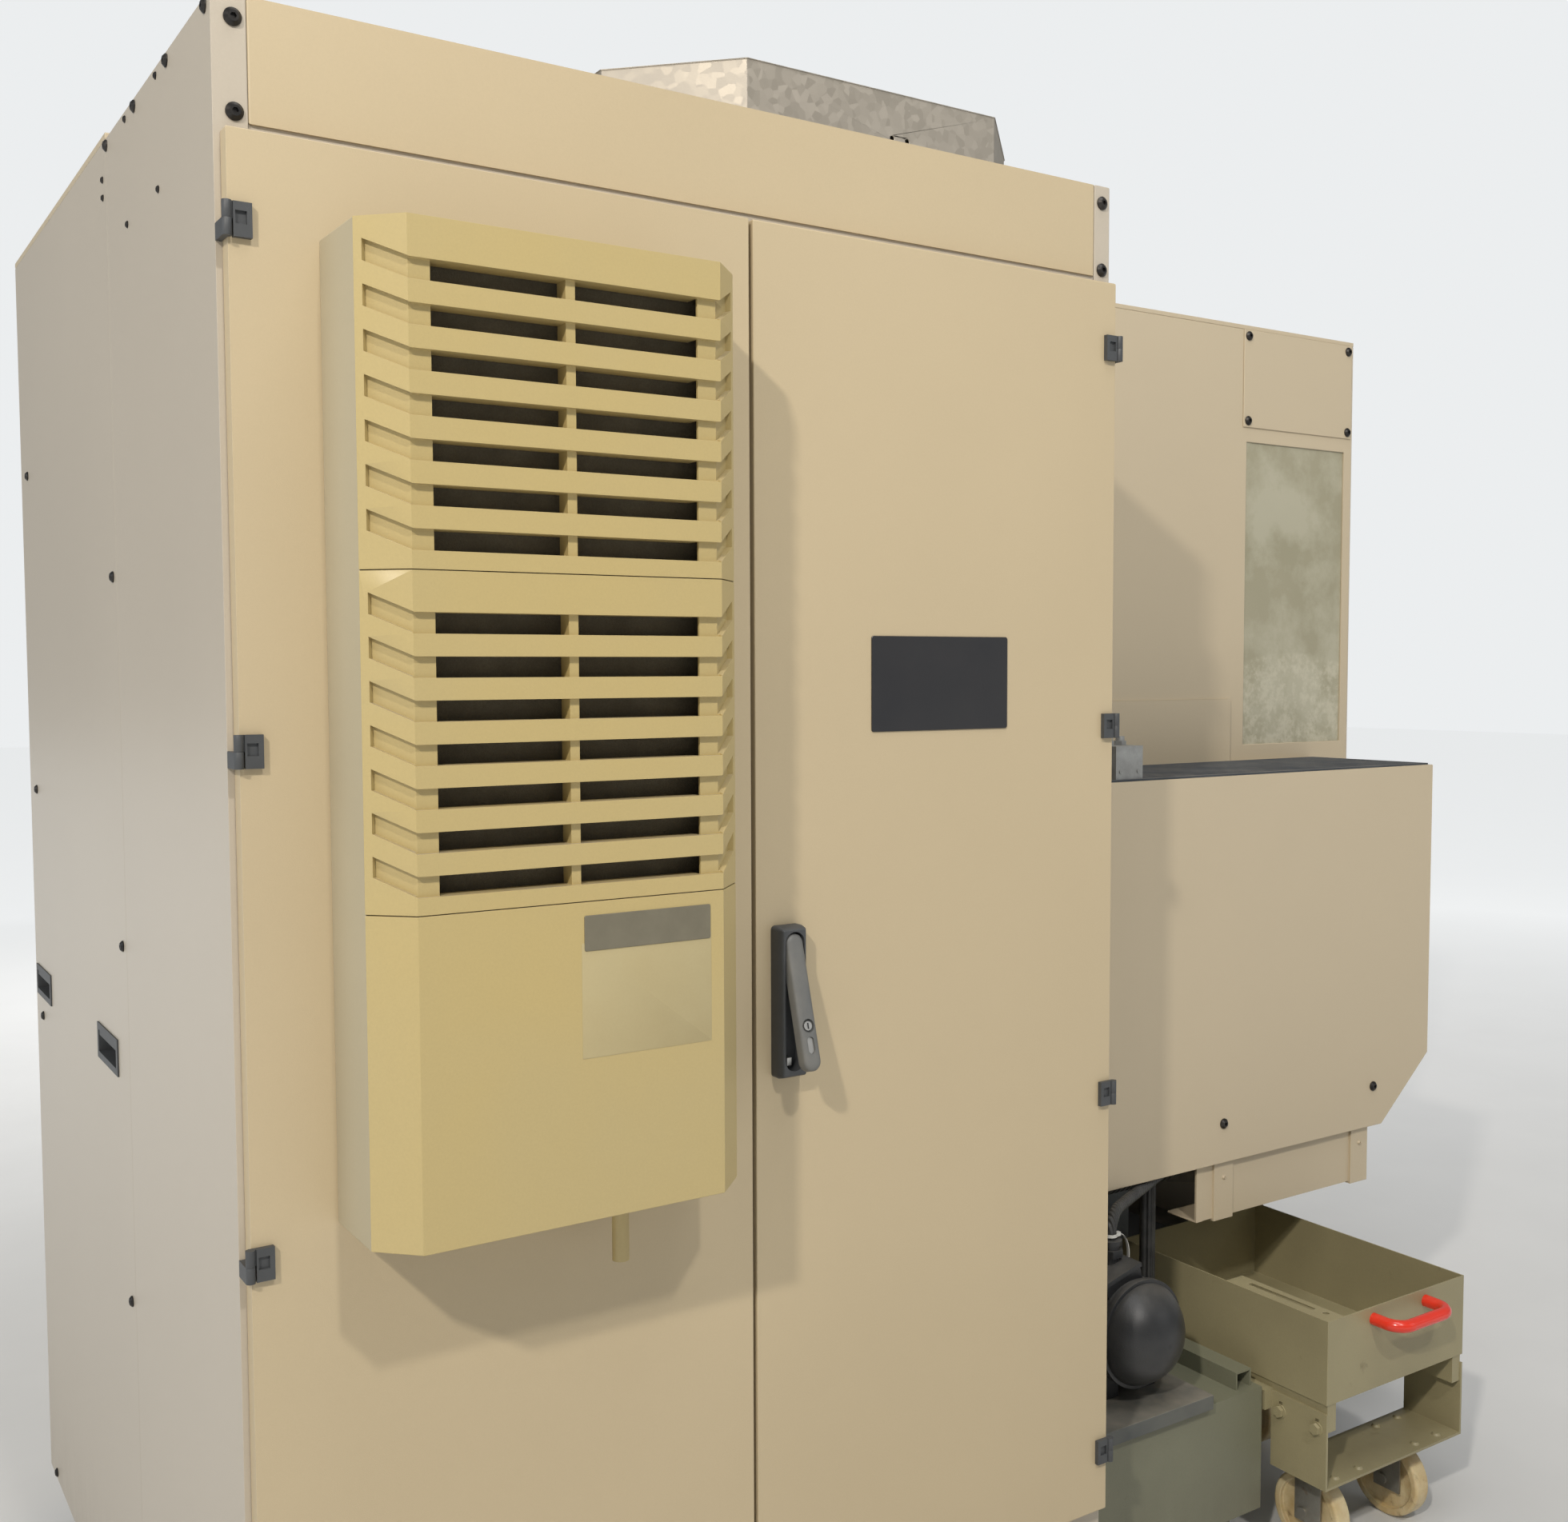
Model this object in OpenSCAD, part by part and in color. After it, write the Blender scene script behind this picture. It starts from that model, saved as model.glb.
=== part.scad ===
// CNC machining center with a rear electrical cabinet, coolant tank and chip cart.
// Millimetres, +Z up. The operator stands on the -Y side, the cabinet faces +Y.

/* [Enclosure] */
// Overall width of the enclosure across the side panels
body_width = 2296; // [2000:1:2600]
// Height of the top edge of the side panels above the floor
body_top = 2028; // [1800:1:2300]
// Height of the lower edge of the enclosure panels
skirt_bottom = 111; // [60:1:160]
// Position of the outer face of the rear wall
wall_y = 381; // [300:1:460]
// Position of the front end of the flat side panels
side_front_y = -347; // [-420:1:-280]
// Length of the 45 degree front corner of the enclosure, measured along each axis
corner_cut = 303; // [200:1:400]
// Sheet thickness of the enclosure panels
sheet = 3; // [2:0.5:5]
// Width of the folded edge inside the side panels
fold = 18; // [10:1:30]
// Height of the rim around the roof panel
roof_rim = 8; // [4:1:16]

/* [Roof cover] */
// Centre of the galvanised roof cover across the machine
cover_x = 8; // [-60:1:60]
// Width of the galvanised roof cover
cover_width = 800; // [600:1:1000]
// Rear face of the roof cover
cover_rear_y = 371; // [300:1:380]
// Depth of the roof cover
cover_length = 841; // [600:1:900]
// Height of the roof cover above the roof panel
cover_height = 270; // [200:1:340]
// Corner chamfer of the roof cover in plan
cover_cut = 160; // [80:1:220]
// Width of the flange around the foot of the roof cover
cover_flange = 8; // [5:1:9]

/* [Rear wall] */
// Left edge of the rear window
window_x0 = -1124; // [-1130:1:-1000]
// Right edge of the rear window
window_x1 = -843; // [-900:1:-700]
// Lower edge of the rear window
window_z0 = 1255; // [1230:1:1400]
// Upper edge of the rear window
window_z1 = 1821; // [1600:1:1840]
// Width of the access plate
plate_width = 310; // [200:1:320]
// Height of the access plate
plate_height = 180; // [120:1:190]
// Thickness of the access plate
plate_t = 2.5; // [1.5:0.5:5]
// Right end of the low cover beside the cabinet
low_cover_x = -802; // [-830:1:-600]
// Height of the low cover
low_cover_height = 118; // [80:1:160]
// Radius of a button head screw
screw_r = 8.5; // [5:0.5:12]
// Height of a button head screw
screw_h = 5; // [3:0.5:8]
// Radius of a small panel screw
small_screw_r = 4; // [2:0.5:6]

/* [Flush handles] */
// Length of a recessed flush handle
grip_length = 132; // [100:1:180]
// Height of a recessed flush handle
grip_height = 47; // [35:1:70]
// Depth of the pocket of a flush handle
grip_depth = 22; // [12:1:40]
// Height of the centre of the flush handles
grip_z = 914; // [800:1:1000]
// Position of the rear flush handle along the side
grip_rear_y = 247; // [180:1:290]
// Position of the front flush handle along the side
grip_front_y = -263; // [-280:1:-150]

/* [Cabinet] */
// Width of the electrical cabinet
cabinet_width = 1142; // [1000:1:1145]
// Depth of the cabinet frame without its doors
cabinet_depth = 499; // [400:1:600]
// Width of the left post of the cabinet frame
left_post = 33; // [25:1:50]
// Width of the right post of the cabinet frame
right_post = 27; // [20:1:45]
// Height of the cabinet floor
cabinet_floor = 240; // [200:1:260]
// Height of the lower edge of the fascia
fascia_bottom = 1911; // [1905:1:1950]
// Thickness of the cabinet doors
door_depth = 20; // [15:1:30]
// Distance of the left door from the side of the cabinet
door_inset = 6.4; // [5:0.1:12]
// Width of the left door
left_door_width = 565.3; // [480:0.1:570]
// Distance of the hinge edge of the right door from the side of the cabinet
right_door_inset = 6.8; // [4:0.1:20]
// Gap between the two doors
door_gap = 5.4; // [3:0.1:8]
// Height of the lower edge of the doors
door_bottom = 258; // [250:1:300]
// Height of the upper edge of the doors
door_top = 1900; // [1800:1:1904]
// Sheet thickness of the doors
door_skin = 2; // [1.5:0.5:4]
// Radius of a hinge knuckle
hinge_r = 4.5; // [4:0.1:6]
// Height of a hinge
hinge_height = 32; // [24:1:50]
// Width of a hinge leaf on the door
hinge_leaf = 23; // [14:1:30]
// Height of the lowest hinge
hinge_z = 342; // [300:1:400]
// Distance between neighbouring hinges
hinge_pitch = 491; // [450:1:500]
// Radius of a hinge pin
pin_r = 2; // [1.5:0.1:2.5]
// Radial clearance of a running pin
pin_clear = 0.06; // [0.03:0.01:0.1]

/* [Cooling unit] */
// Width of the cooling unit on the left door
unit_width = 400; // [360:1:420]
// Height of the cooling unit
unit_height = 950; // [800:1:1000]
// Distance from the left door edge to the cooling unit
unit_inset = 84.8; // [60:0.1:110]
// Height of the underside of the cooling unit
unit_bottom = 858; // [760:1:900]
// Depth of the sheet housing of the cooling unit
unit_depth = 96.6; // [70:0.1:120]
// Depth of the plastic front covers, equal to their corner chamfer
front_depth = 37; // [25:0.5:45]
// Wall of the plastic front covers
front_wall = 9; // [8:0.5:12]
// Depth of the grooves between the bars of a grille
groove = 6; // [4:0.5:7]
// Height of a groove
slot_height = 19.5; // [12:0.5:24]
// Distance between neighbouring grooves
slot_pitch = 40.3; // [36:0.1:42]
// Distance from the top of a grille cover to its first groove
slot_margin = 38; // [25:0.5:45]
// Length of the open part of the grooves
slot_length = 279; // [200:1:300]
// Rise of the grooves along the chamfers of a grille
groove_rise = 18; // [0:1:19]
// Plain rim behind the grooves of the chamfers
groove_rim = 2.5; // [1.5:0.5:8]
// Depth of the ledges behind the open grooves
ledge = 16; // [8:0.5:24]
// Width of the rib that divides the open grooves
divider = 10; // [6:0.5:16]
// Joint between neighbouring covers
seam = 1; // [0.6:0.1:2]
// Radius of the condenser fan
fan_r = 120; // [90:1:130]
// Radius of the condenser fan hub
hub_r = 42; // [30:1:50]
// Radius of the drain tube
tube_r = 9; // [6:0.5:12]
// Length of the drain tube
tube_length = 76; // [40:1:120]

/* [Door lever] */
// Distance from the left door edge of the right door to the lever housing
lever_inset = 20; // [12:0.5:30]
// Width of the lever housing
lever_width = 38; // [34:0.5:46]
// Height of the lever housing
lever_height = 176; // [150:1:200]
// Underside of the lever housing above the floor
lever_z = 930; // [850:1:1000]
// Depth of the lever housing
lever_depth = 22; // [18:0.5:28]
// Width of the lever
grip_width = 23; // [18:0.5:26]
// Length of the lever below its pivot
grip_reach = 139; // [110:1:145]
// Angle of the released lever to the door
lever_tilt = 15.5; // [5:0.5:25]

/* [Lower block] */
// Gap between the cabinet and the block housing
block_gap = 14; // [4:1:40]
// Right end of the lower block
block_x0 = -1040; // [-1100:1:-900]
// Distance the lower block stands out from the rear wall
block_depth = 269; // [200:1:320]
// Underside of the lower block
block_z0 = 582; // [540:1:640]
// Top of the lower block
block_z1 = 1223; // [1150:1:1228]
// Width of the chamfered lower corner of the block
block_cut_x = 129; // [90:1:170]
// Height of the chamfered lower corner of the block
block_cut_z = 112; // [80:1:150]
// Thickness of the mat on the block
mat_t = 3; // [2:0.5:5]
// Width of the junction box on the block
box_width = 58; // [40:1:90]
// Depth of the junction box
box_depth = 100; // [70:1:140]
// Height of the junction box
box_height = 52; // [35:1:80]
// Right edge of the junction box
box_x = -258; // [-330:1:-200]

/* [Chute] */
// Left end of the chute guard
chute_x1 = -446; // [-480:1:-420]
// Width of the chute guard
chute_width = 438; // [380:1:470]
// Height of the chute guard
chute_height = 95; // [70:1:110]
// Distance of the chute guard behind the face of the block
chute_setback = 12; // [6:1:30]
// Depth of the lower flange of the chute guard
chute_lip = 62; // [40:1:80]
// Width of a strap over the chute guard
strap_width = 46; // [30:1:60]
// Distance from the end of the guard to the first strap
strap_inset = 39; // [20:1:60]
// Width of the chip trough
trough_width = 190; // [140:1:196]
// Slope of the chip trough
trough_slope = 14; // [8:1:18]

/* [Cart bay] */
// Left end of the open bay behind the chip cart
bay_x1 = -440; // [-445:1:-430]
// Front end of the bay in the side panel
bay_y0 = 190; // [150:1:300]

/* [Coolant tank] */
// Left side of the coolant tank
tank_x1 = -10; // [-30:1:-6]
// Width of the coolant tank
tank_width = 416; // [360:1:418]
// Depth of the coolant tank
tank_depth = 415; // [340:1:418]
// Underside of the coolant tank
tank_z0 = 82; // [60:1:100]
// Height of the coolant tank
tank_height = 195; // [160:1:200]
// Width of the channel along the tank
strip_w = 34; // [24:1:60]
// Height of the channel along the tank
strip_h = 28; // [10:1:32]
// Width of the raised pump lid
lid_width = 293; // [270:1:320]
// Height of the raised pump lid
lid_height = 22; // [12:1:30]
// Radius of the pump motor
motor_r = 78; // [55:1:80]
// Height of the motor axis
motor_z = 401; // [396:1:412]
// Position of the motor axis across the machine
motor_x = -200; // [-210:1:-190]
// Length of the motor body without its dome
motor_length = 190; // [180:1:200]
// Depth of the domed end of the motor
dome = 55; // [40:1:60]
// Radius of the large coolant hose
hose_r = 24; // [16:0.5:28]
// Radius of the motor cable's hose
cable_r = 9; // [7:0.5:11]
// Radius of the return pipe above the tank
pipe_r = 13; // [8:0.5:14]

/* [Chip cart] */
// Side of the cart nearest the tank
cart_x1 = -449; // [-455:1:-446]
// Width of the chip cart
cart_width = 340; // [300:1:360]
// Length of the chip cart
cart_length = 430; // [380:1:440]
// Rear end of the cart in front of the wall
cart_y1 = 900; // [880:1:940]
// Underside of the cart tray
tray_z0 = 279; // [250:1:290]
// Height of the cart tray
tray_height = 131; // [100:1:150]
// Sheet thickness of the cart tray
tray_t = 2.5; // [1.5:0.5:4]
// Width of the slotted lip on the tray
lip_width = 40; // [28:1:50]
// Length of the slotted lip on the tray
lip_length = 200; // [140:1:240]
// Height of the castor plates above the floor
chassis_z = 145; // [140:1:150]
// Plate thickness of the cart brackets
bracket_t = 4; // [3:0.5:6]
// Height of the side plates of the brackets
bracket_height = 120; // [100:1:125]
// Length of the brackets along the cart
bracket_length = 105; // [80:1:120]
// Width of the side rails of the cart
rail_w = 16; // [10:1:18]
// Radius of the cart handle tube
handle_r = 9.5; // [5:0.5:10]
// Distance between the ends of the cart handle
handle_span = 130; // [100:1:180]
// Distance the cart handle stands out
handle_reach = 48; // [38:1:70]
// Radius of a castor wheel
wheel_r = 62.5; // [55:0.5:65]
// Width of a castor wheel
wheel_w = 32; // [24:1:40]
// Trail of a swivel castor
trail = 28; // [20:1:34]
// Radius of a castor axle
axle_r = 6; // [4:0.5:8]

/* [Machine] */
// Outer half width of the cast gantry walls
gantry_half = 570; // [540:1:590]
// Thickness of a gantry wall
gantry_t = 140; // [110:1:160]
// Top of the gantry walls
gantry_top = 1480; // [1440:1:1490]
// Top of the cast base
base_top = 520; // [460:1:560]
// Height of the base frame beams
beam_height = 60; // [50:1:80]
// Front end of the gantry walls
gantry_front = -480; // [-520:1:-440]
// Centre of the table along the machine
table_y = -175; // [-200:1:-150]
// Height of the tilting axis of the table
tilt_z = 900; // [880:1:910]
// Radius of the rotary table
table_r = 160; // [120:1:170]
// Height of the rotary table
table_h = 90; // [70:1:95]
// Width of the slots in the table
slot_w = 12; // [8:1:16]
// Radius of the centre bore of the table
table_bore_r = 15; // [10:1:25]
// Depth of the centre bore of the table
table_bore_depth = 40; // [30:1:60]
// Radius of the cradle shafts
shaft_r = 50; // [40:1:60]
// Width of a linear guide
guide_w = 34; // [28:1:40]
// Height of a linear guide
guide_h = 25; // [20:1:30]
// Running clearance of a guide shoe
guide_clear = 0.3; // [0.2:0.05:0.5]
// Side of the square ram
ram_side = 220; // [180:1:230]
// Length of the ram
ram_length = 690; // [600:1:700]
// Height of the underside of the raised ram
ram_z = 1560; // [1540:1:1570]
// Centre of the ram along the machine with the bridge fully back
ram_y = -25; // [-40:1:-20]
// Radius of the spindle nose
nose_r = 75; // [60:1:85]
// Length of the spindle nose
nose_h = 80; // [60:1:85]
// Radius of the spindle
spindle_r = 40; // [30:1:50]
// Centre of the tool magazine across the machine
magazine_x = -860; // [-880:1:-850]
// Height of the magazine axis
magazine_z = 1500; // [1470:1:1530]
// Radius of the magazine disc
magazine_r = 200; // [160:1:215]
// Places for tools in the magazine
pockets = 12; // [8:1:16]

/* [Operator side] */
// Width of the opening in the operator front
opening_width = 660; // [560:1:680]
// Lower edge of the opening in the operator front
opening_z0 = 850; // [840:1:900]
// Distance of the upper edge of the operator opening below the top of the side panels
opening_drop = 168; // [158:1:330]
// Width of the sliding door
slider_width = 740; // [720:1:760]
// Thickness of the sliding door
slider_t = 30; // [20:1:32]
// Width of the door window
pane_width = 500; // [400:1:540]
// Height of the door window
pane_height = 700; // [560:1:760]
// Position of the console pivot across the machine
console_x = 640; // [600:1:680]
// Width of the console
console_width = 400; // [320:1:420]
// Height of the console
console_height = 470; // [400:1:500]
// Depth of the console
console_depth = 90; // [70:1:110]
// Length of the console arm
arm_length = 248.1; // [240:0.1:270]
// Radius of the console arm tube
arm_r = 22; // [18:1:26]

/* [Hidden] */
$fn = 64;
seat = 0.2;
half = body_width/2;
front_y = side_front_y - corner_cut;
roof_top = body_top + roof_rim;
post_y = wall_y + cabinet_depth;
door_y = post_y + door_depth;
cab_x1 = half;
cab_x0 = half - cabinet_width;
ld_x1 = cab_x1 - door_inset;
ld_x0 = ld_x1 - left_door_width;
rd_x1 = ld_x0 - door_gap;
rd_x0 = cab_x0 + right_door_inset;
back_top = body_top - 190;
rail_z = [cabinet_floor + 100, for (drop = [1188, 828, 438, 58]) back_top - drop];
unit_x1 = ld_x1 - unit_inset;
unit_x0 = unit_x1 - unit_width;
unit_y = door_y + unit_depth;
front_face = unit_y + front_depth;
cover_each = unit_height/3;
trough_x = chute_x1 - 141;
trough_z = base_top - 122;
block_x1 = cab_x0 - block_gap;
block_y = wall_y + block_depth;
chute_y = block_y - chute_setback;
chute_z = block_z0 - chute_height;
tank_y1 = wall_y + tank_depth;
tank_z1 = tank_z0 + tank_height;
tank_x0 = tank_x1 - tank_width;
lid_z = tank_z1 + lid_height;
cart_x0 = cart_x1 - cart_width;
cart_y0 = cart_y1 - cart_length;
tray_z1 = tray_z0 + tray_height;
bracket_top = chassis_z + bracket_height;
frame_top = skirt_bottom + beam_height;
inner_half = gantry_half - gantry_t;
guide_x = gantry_half - gantry_t/2;
guide_top = gantry_top + guide_h;
ram_back = ram_y + ram_side/2;
saddle_y = ram_back + 30;
saddle_t = 35;
beam_y = saddle_y + saddle_t + 30;
beam_y1 = wall_y - sheet - 18;
beam_z0 = gantry_top + 30;
beam_z1 = beam_z0 + 340;
x_guide_z = [beam_z0 + 50, beam_z1 - 60];
z_guide_x = 70;
z_guide_h = 22;
slider_y1 = front_y - 5;
slider_y0 = slider_y1 - slider_t;
opening_z1 = body_top - opening_drop;
track_z0 = opening_z0 - 20;
track_z1 = opening_z1 + 25;
pivot_y = front_y - 65;
console_top = 1620;
lever_x = rd_x1 - lever_inset - lever_width/2;
lever_pivot_z = lever_z + lever_height - 20;
lever_pivot_y = door_y + lever_depth - 7;
hinge_gap = 0.6;
fan_z = unit_bottom + 1.5*cover_each;
box_tilt = 15;
gland_x = motor_x + 10;
motor_y1 = tank_y1 - 36;
gland_y = motor_y1 - 60;
gland_z = motor_z + motor_r + 52;
riser_z = motor_z + motor_r + 10;
riser_y = motor_y1 - motor_length - 34;
castor_y = cart_y1 - bracket_length/2;
castor_rear_y = cart_y0 + bracket_length/2;
castor_x = [cart_x1 - 71, cart_x0 + 71];
axle_y = castor_y - trail;
fork_top = chassis_z - 4;

// A box between two opposite corners
module span(x, y, z) {
  translate([min(x[0], x[1]), min(y[0], y[1]), min(z[0], z[1])])
    cube([abs(x[1] - x[0]), abs(y[1] - y[0]), abs(z[1] - z[0])]);
}

// A rod along X, Y or Z
module rod_x(r, x, y, z) {
  translate([min(x[0], x[1]), y, z]) rotate([0, 90, 0]) cylinder(r = r, h = abs(x[1] - x[0]));
}
module rod_y(r, x, y, z) {
  translate([x, max(y[0], y[1]), z]) rotate([90, 0, 0]) cylinder(r = r, h = abs(y[1] - y[0]));
}

// A button head screw with a hexagon socket, its seat at the origin and its head along +Z
module button_screw(r, h) {
  difference() {
    union() {
      cylinder(r = r, h = h*0.35);
      translate([0, 0, h*0.35]) cylinder(r1 = r, r2 = r*0.6, h = h*0.65);
    }
    translate([0, 0, h*0.45]) cylinder(r = r*0.36, h = h, $fn = 6);
  }
}

// Plan of the enclosure roof, inset by d
function roof_plan(d) = [
  [half - d, wall_y - d], [-half + d, wall_y - d], [-half + d, side_front_y + d*0.4142],
  [-half + corner_cut + d*0.4142, front_y + d], [half - corner_cut - d*0.4142, front_y + d],
  [half - d, side_front_y + d*0.4142]];

// Plan of the roof cover, inset by d
function cover_plan(d) = let (a = cover_width/2 - d, c = cover_cut - d*0.586,
  y1 = cover_rear_y - d, y0 = cover_rear_y - cover_length + d) [
  [cover_x - a + c, y0], [cover_x + a - c, y0], [cover_x + a, y0 + c], [cover_x + a, y1 - c],
  [cover_x + a - c, y1], [cover_x - a + c, y1], [cover_x - a, y1 - c], [cover_x - a, y0 + c]];

// Section of a front cover of the cooling unit, with its wall offset inwards by t
function front_section(t) = [
  [unit_x0 + t*sqrt(2), unit_y - 1], [unit_x0 + t*sqrt(2), unit_y],
  [unit_x0 + front_depth - t + t*sqrt(2), front_face - t],
  [unit_x1 - front_depth + t - t*sqrt(2), front_face - t],
  [unit_x1 - t*sqrt(2), unit_y], [unit_x1 - t*sqrt(2), unit_y - 1]];

module levelling_feet() {
  places = [[half - 90, wall_y - 60], [-half + 90, wall_y - 60], [half - 90, side_front_y + 40],
    [-half + 90, side_front_y + 40], [guide_x, wall_y - 60], [-guide_x, wall_y - 60],
    [guide_x, gantry_front], [-guide_x, gantry_front], [cab_x1 - 50, post_y - 50], [cab_x0 + 60, post_y - 50]];
  color("dimgray") for (p = places) translate([p[0], p[1], 0]) {
    cylinder(r = 45, h = 12);
    translate([0, 0, 12]) cylinder(r1 = 40, r2 = 22, h = 10);
    translate([0, 0, 22]) cylinder(r = 14, h = skirt_bottom - 22);
    translate([0, 0, skirt_bottom - 24]) cylinder(r = 24, h = 14, $fn = 6);
  }
}

module base_frame() {
  y0 = side_front_y;
  y1 = wall_y - sheet;
  x1 = half - sheet;
  z = [skirt_bottom, frame_top];
  color("darkslategray") {
    span([-x1, x1], [y1 - 80, y1], z);
    span([-x1, x1], [y0, y0 + 80], z);
    for (s = [-1, 1]) {
      span([s*x1, s*(x1 - 80)], [y0 + 79, y1 - 79], z);
      span([s*(guide_x - 45), s*(guide_x + 45)], [gantry_front - 60, y1 - 79], z);
    }
  }
}

module machine_bed() {
  y1 = beam_y1 + 5;
  color("slategray") {
    difference() {
      union() {
        span([-gantry_half, gantry_half], [gantry_front - 60, y1], [frame_top, base_top]);
        for (s = [-1, 1])
          span([s*inner_half, s*gantry_half], [gantry_front, y1], [base_top - 1, gantry_top]);
        span([-inner_half - 1, inner_half + 1], [y1 - 110, y1], [base_top - 1, tilt_z + 80]);
      }
      span([-inner_half, inner_half], [gantry_front, y1 - 110], [base_top - 210, base_top + 1]);
      for (s = [-1, 1]) {
        span([s*(gantry_half - 60), s*(gantry_half + 1)], [gantry_front + 70, table_y - 30],
          [base_top + 90, gantry_top - 130]);
        span([s*(gantry_half - 60), s*(gantry_half + 1)], [table_y + 20, y1 - 70],
          [base_top + 90, gantry_top - 130]);
      }
      span([-gantry_half - 1, -inner_half + 1], [wall_y - 236, wall_y - 136], [trough_z + 20, trough_z + 100]);
      span([-260, 260], [y1 - 111, y1 + 1], [base_top + 60, tilt_z]);
    }
    for (s = [-1, 1]) difference() {
      rod_x(130, [s*(inner_half - 52), s*(inner_half + 1)], table_y, tilt_z);
      rod_x(shaft_r + 0.1, [s*(inner_half - 53), s*(inner_half - 30)], table_y, tilt_z);
    }
    for (s = [-1, 1])
      span([s*guide_x - guide_w/2, s*guide_x + guide_w/2], [gantry_front + 20, y1 - 5],
        [gantry_top - 1, guide_top]);
    translate([0, 100, 0]) rotate([90, 0, 0]) linear_extrude(38) polygon([
      [-gantry_half + 1, gantry_top - 380], [-gantry_half + 1, gantry_top - 60],
      [magazine_x + 60, magazine_z + 70], [magazine_x - 60, magazine_z + 70],
      [magazine_x - 60, magazine_z - 70], [magazine_x + 60, magazine_z - 90]]);
  }
}

module side_panel(s) {
  x1 = s*half;
  x2 = s*(half - sheet);
  xf = s*(half - fold);
  difference() {
    span([x1, x2], [side_front_y, wall_y], [skirt_bottom, body_top]);
    for (y = [grip_front_y, grip_rear_y])
      span([s*(half + 1), s*(half - sheet - 1)], [y - grip_length/2 + 5, y + grip_length/2 - 5],
        [grip_z - grip_height/2 + 5, grip_z + grip_height/2 - 5]);
    if (s < 0) span([x1 - 1, x2 + 1], [bay_y0, wall_y + 1], [skirt_bottom - 1, block_z0]);
  }
  span([x1, xf], [side_front_y + 30, wall_y - sheet], [body_top - sheet, body_top]);
  for (z = [[frame_top + 40, grip_z - grip_height/2 - 4], [grip_z + grip_height/2 + 4, body_top]])
    span([x2, xf], [side_front_y + 30, side_front_y + 33], z);
}

module side_panels() {
  color("tan") {
    side_panel(1);
    side_panel(-1);
  }
}

module flush_handles() {
  color("black") for (s = [-1, 1], y = [grip_front_y, grip_rear_y]) {
    l = grip_length/2;
    h = grip_height/2;
    difference() {
      union() {
        span([s*half, s*(half + 2)], [y - l, y + l], [grip_z - h, grip_z + h]);
        span([s*(half - grip_depth), s*(half + 0.5)], [y - l + 6, y + l - 6], [grip_z - h + 6, grip_z + h - 6]);
      }
      span([s*(half - grip_depth + 2), s*(half + 3)], [y - l + 9, y + l - 9], [grip_z - h + 9, grip_z + h - 9]);
    }
    span([s*(half - 2), s*(half + 1)], [y - l + 8, y + l - 8], [grip_z + h - 16, grip_z + h - 8]);
  }
}

module rear_wall() {
  color("tan") difference() {
    span([-half + sheet, half - sheet], [wall_y - sheet, wall_y], [skirt_bottom, body_top]);
    span([window_x0, window_x1], [wall_y - sheet - 1, wall_y + 1], [window_z0, window_z1]);
    span([-half, bay_x1], [wall_y - sheet - 1, wall_y + 1], [skirt_bottom - 1, block_z0]);
    for (z = [700, 1500])
      span([cab_x0 + 300, cab_x0 + 420], [wall_y - sheet - 1, wall_y + 1], [z, z + 120]);
  }
}

module access_plate() {
  color("tan") translate([-half + 7, 0, 0])
    span([0, plate_width], [wall_y, wall_y + plate_t], [body_top - plate_height, body_top]);
}

module rear_window() {
  color("gainsboro", 0.5)
    span([window_x0 - 12, window_x1 + 12], [wall_y - sheet - 5, wall_y - sheet], [window_z0 - 10, window_z1 + 10]);
}

module low_cover() {
  z1 = block_z1 + low_cover_height;
  color("tan") {
    span([low_cover_x, cab_x0 - block_gap], [wall_y + 4, wall_y + 6], [block_z1, z1]);
    span([low_cover_x, cab_x0 - block_gap], [wall_y, wall_y + 6], [z1 - 2, z1]);
    span([low_cover_x, low_cover_x + 2], [wall_y, wall_y + 6], [block_z1, z1]);
    span([cab_x0 - 16, cab_x0 - block_gap], [wall_y, wall_y + 6], [block_z1, z1]);
  }
}

module roof_panel() {
  color("tan") difference() {
    translate([0, 0, body_top]) linear_extrude(roof_rim) polygon(roof_plan(0));
    translate([0, 0, body_top - 1]) linear_extrude(roof_rim + 1 - sheet) polygon(roof_plan(sheet));
    translate([0, 0, body_top - 1]) linear_extrude(roof_rim + 2) polygon(cover_plan(30));
  }
}

module roof_cover() {
  top = roof_top + cover_height;
  color("silver") difference() {
    union() {
      translate([0, 0, roof_top]) linear_extrude(cover_height) polygon(cover_plan(0));
      translate([0, 0, roof_top]) linear_extrude(sheet) polygon(cover_plan(-cover_flange));
      translate([0, 0, top - 1]) linear_extrude(1.5) polygon(cover_plan(-1.5));
    }
    translate([0, 0, roof_top - 1]) linear_extrude(cover_height - sheet + 1) polygon(cover_plan(sheet));
    for (x = [-60, -30]) rod_y(4, cover_x + x, [cover_rear_y - 10, cover_rear_y + 10], top - 70);
  }
}

module side_screws(s) {
  r = s*half;
  if (s > 0) {
    for (y = [post_y - 19, post_y - 178, post_y - 335, post_y - 492])
      translate([r, y, body_top - 10]) rotate([0, 90, 0]) button_screw(screw_r*0.8, screw_h*0.8);
    for (y = [post_y - 227, post_y - 384], z = [body_top - 10, body_top - 126])
      translate([r, y, z]) rotate([0, 90, 0]) button_screw(small_screw_r, screw_h*0.5);
  }
  for (z = [618, 1063, 1514])
    translate([r, wall_y - 22, z]) rotate([0, s*90, 0]) button_screw(screw_r*0.8, screw_h*0.8);
  for (z = [124, 861, 1217, 1700])
    translate([r, side_front_y + 65, z]) rotate([0, s*90, 0]) button_screw(screw_r*0.8, screw_h*0.8);
  for (z = [body_top - 43, body_top - 64])
    translate([r, wall_y - 20, z]) rotate([0, s*90, 0]) button_screw(small_screw_r, screw_h*0.5);
}

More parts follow.
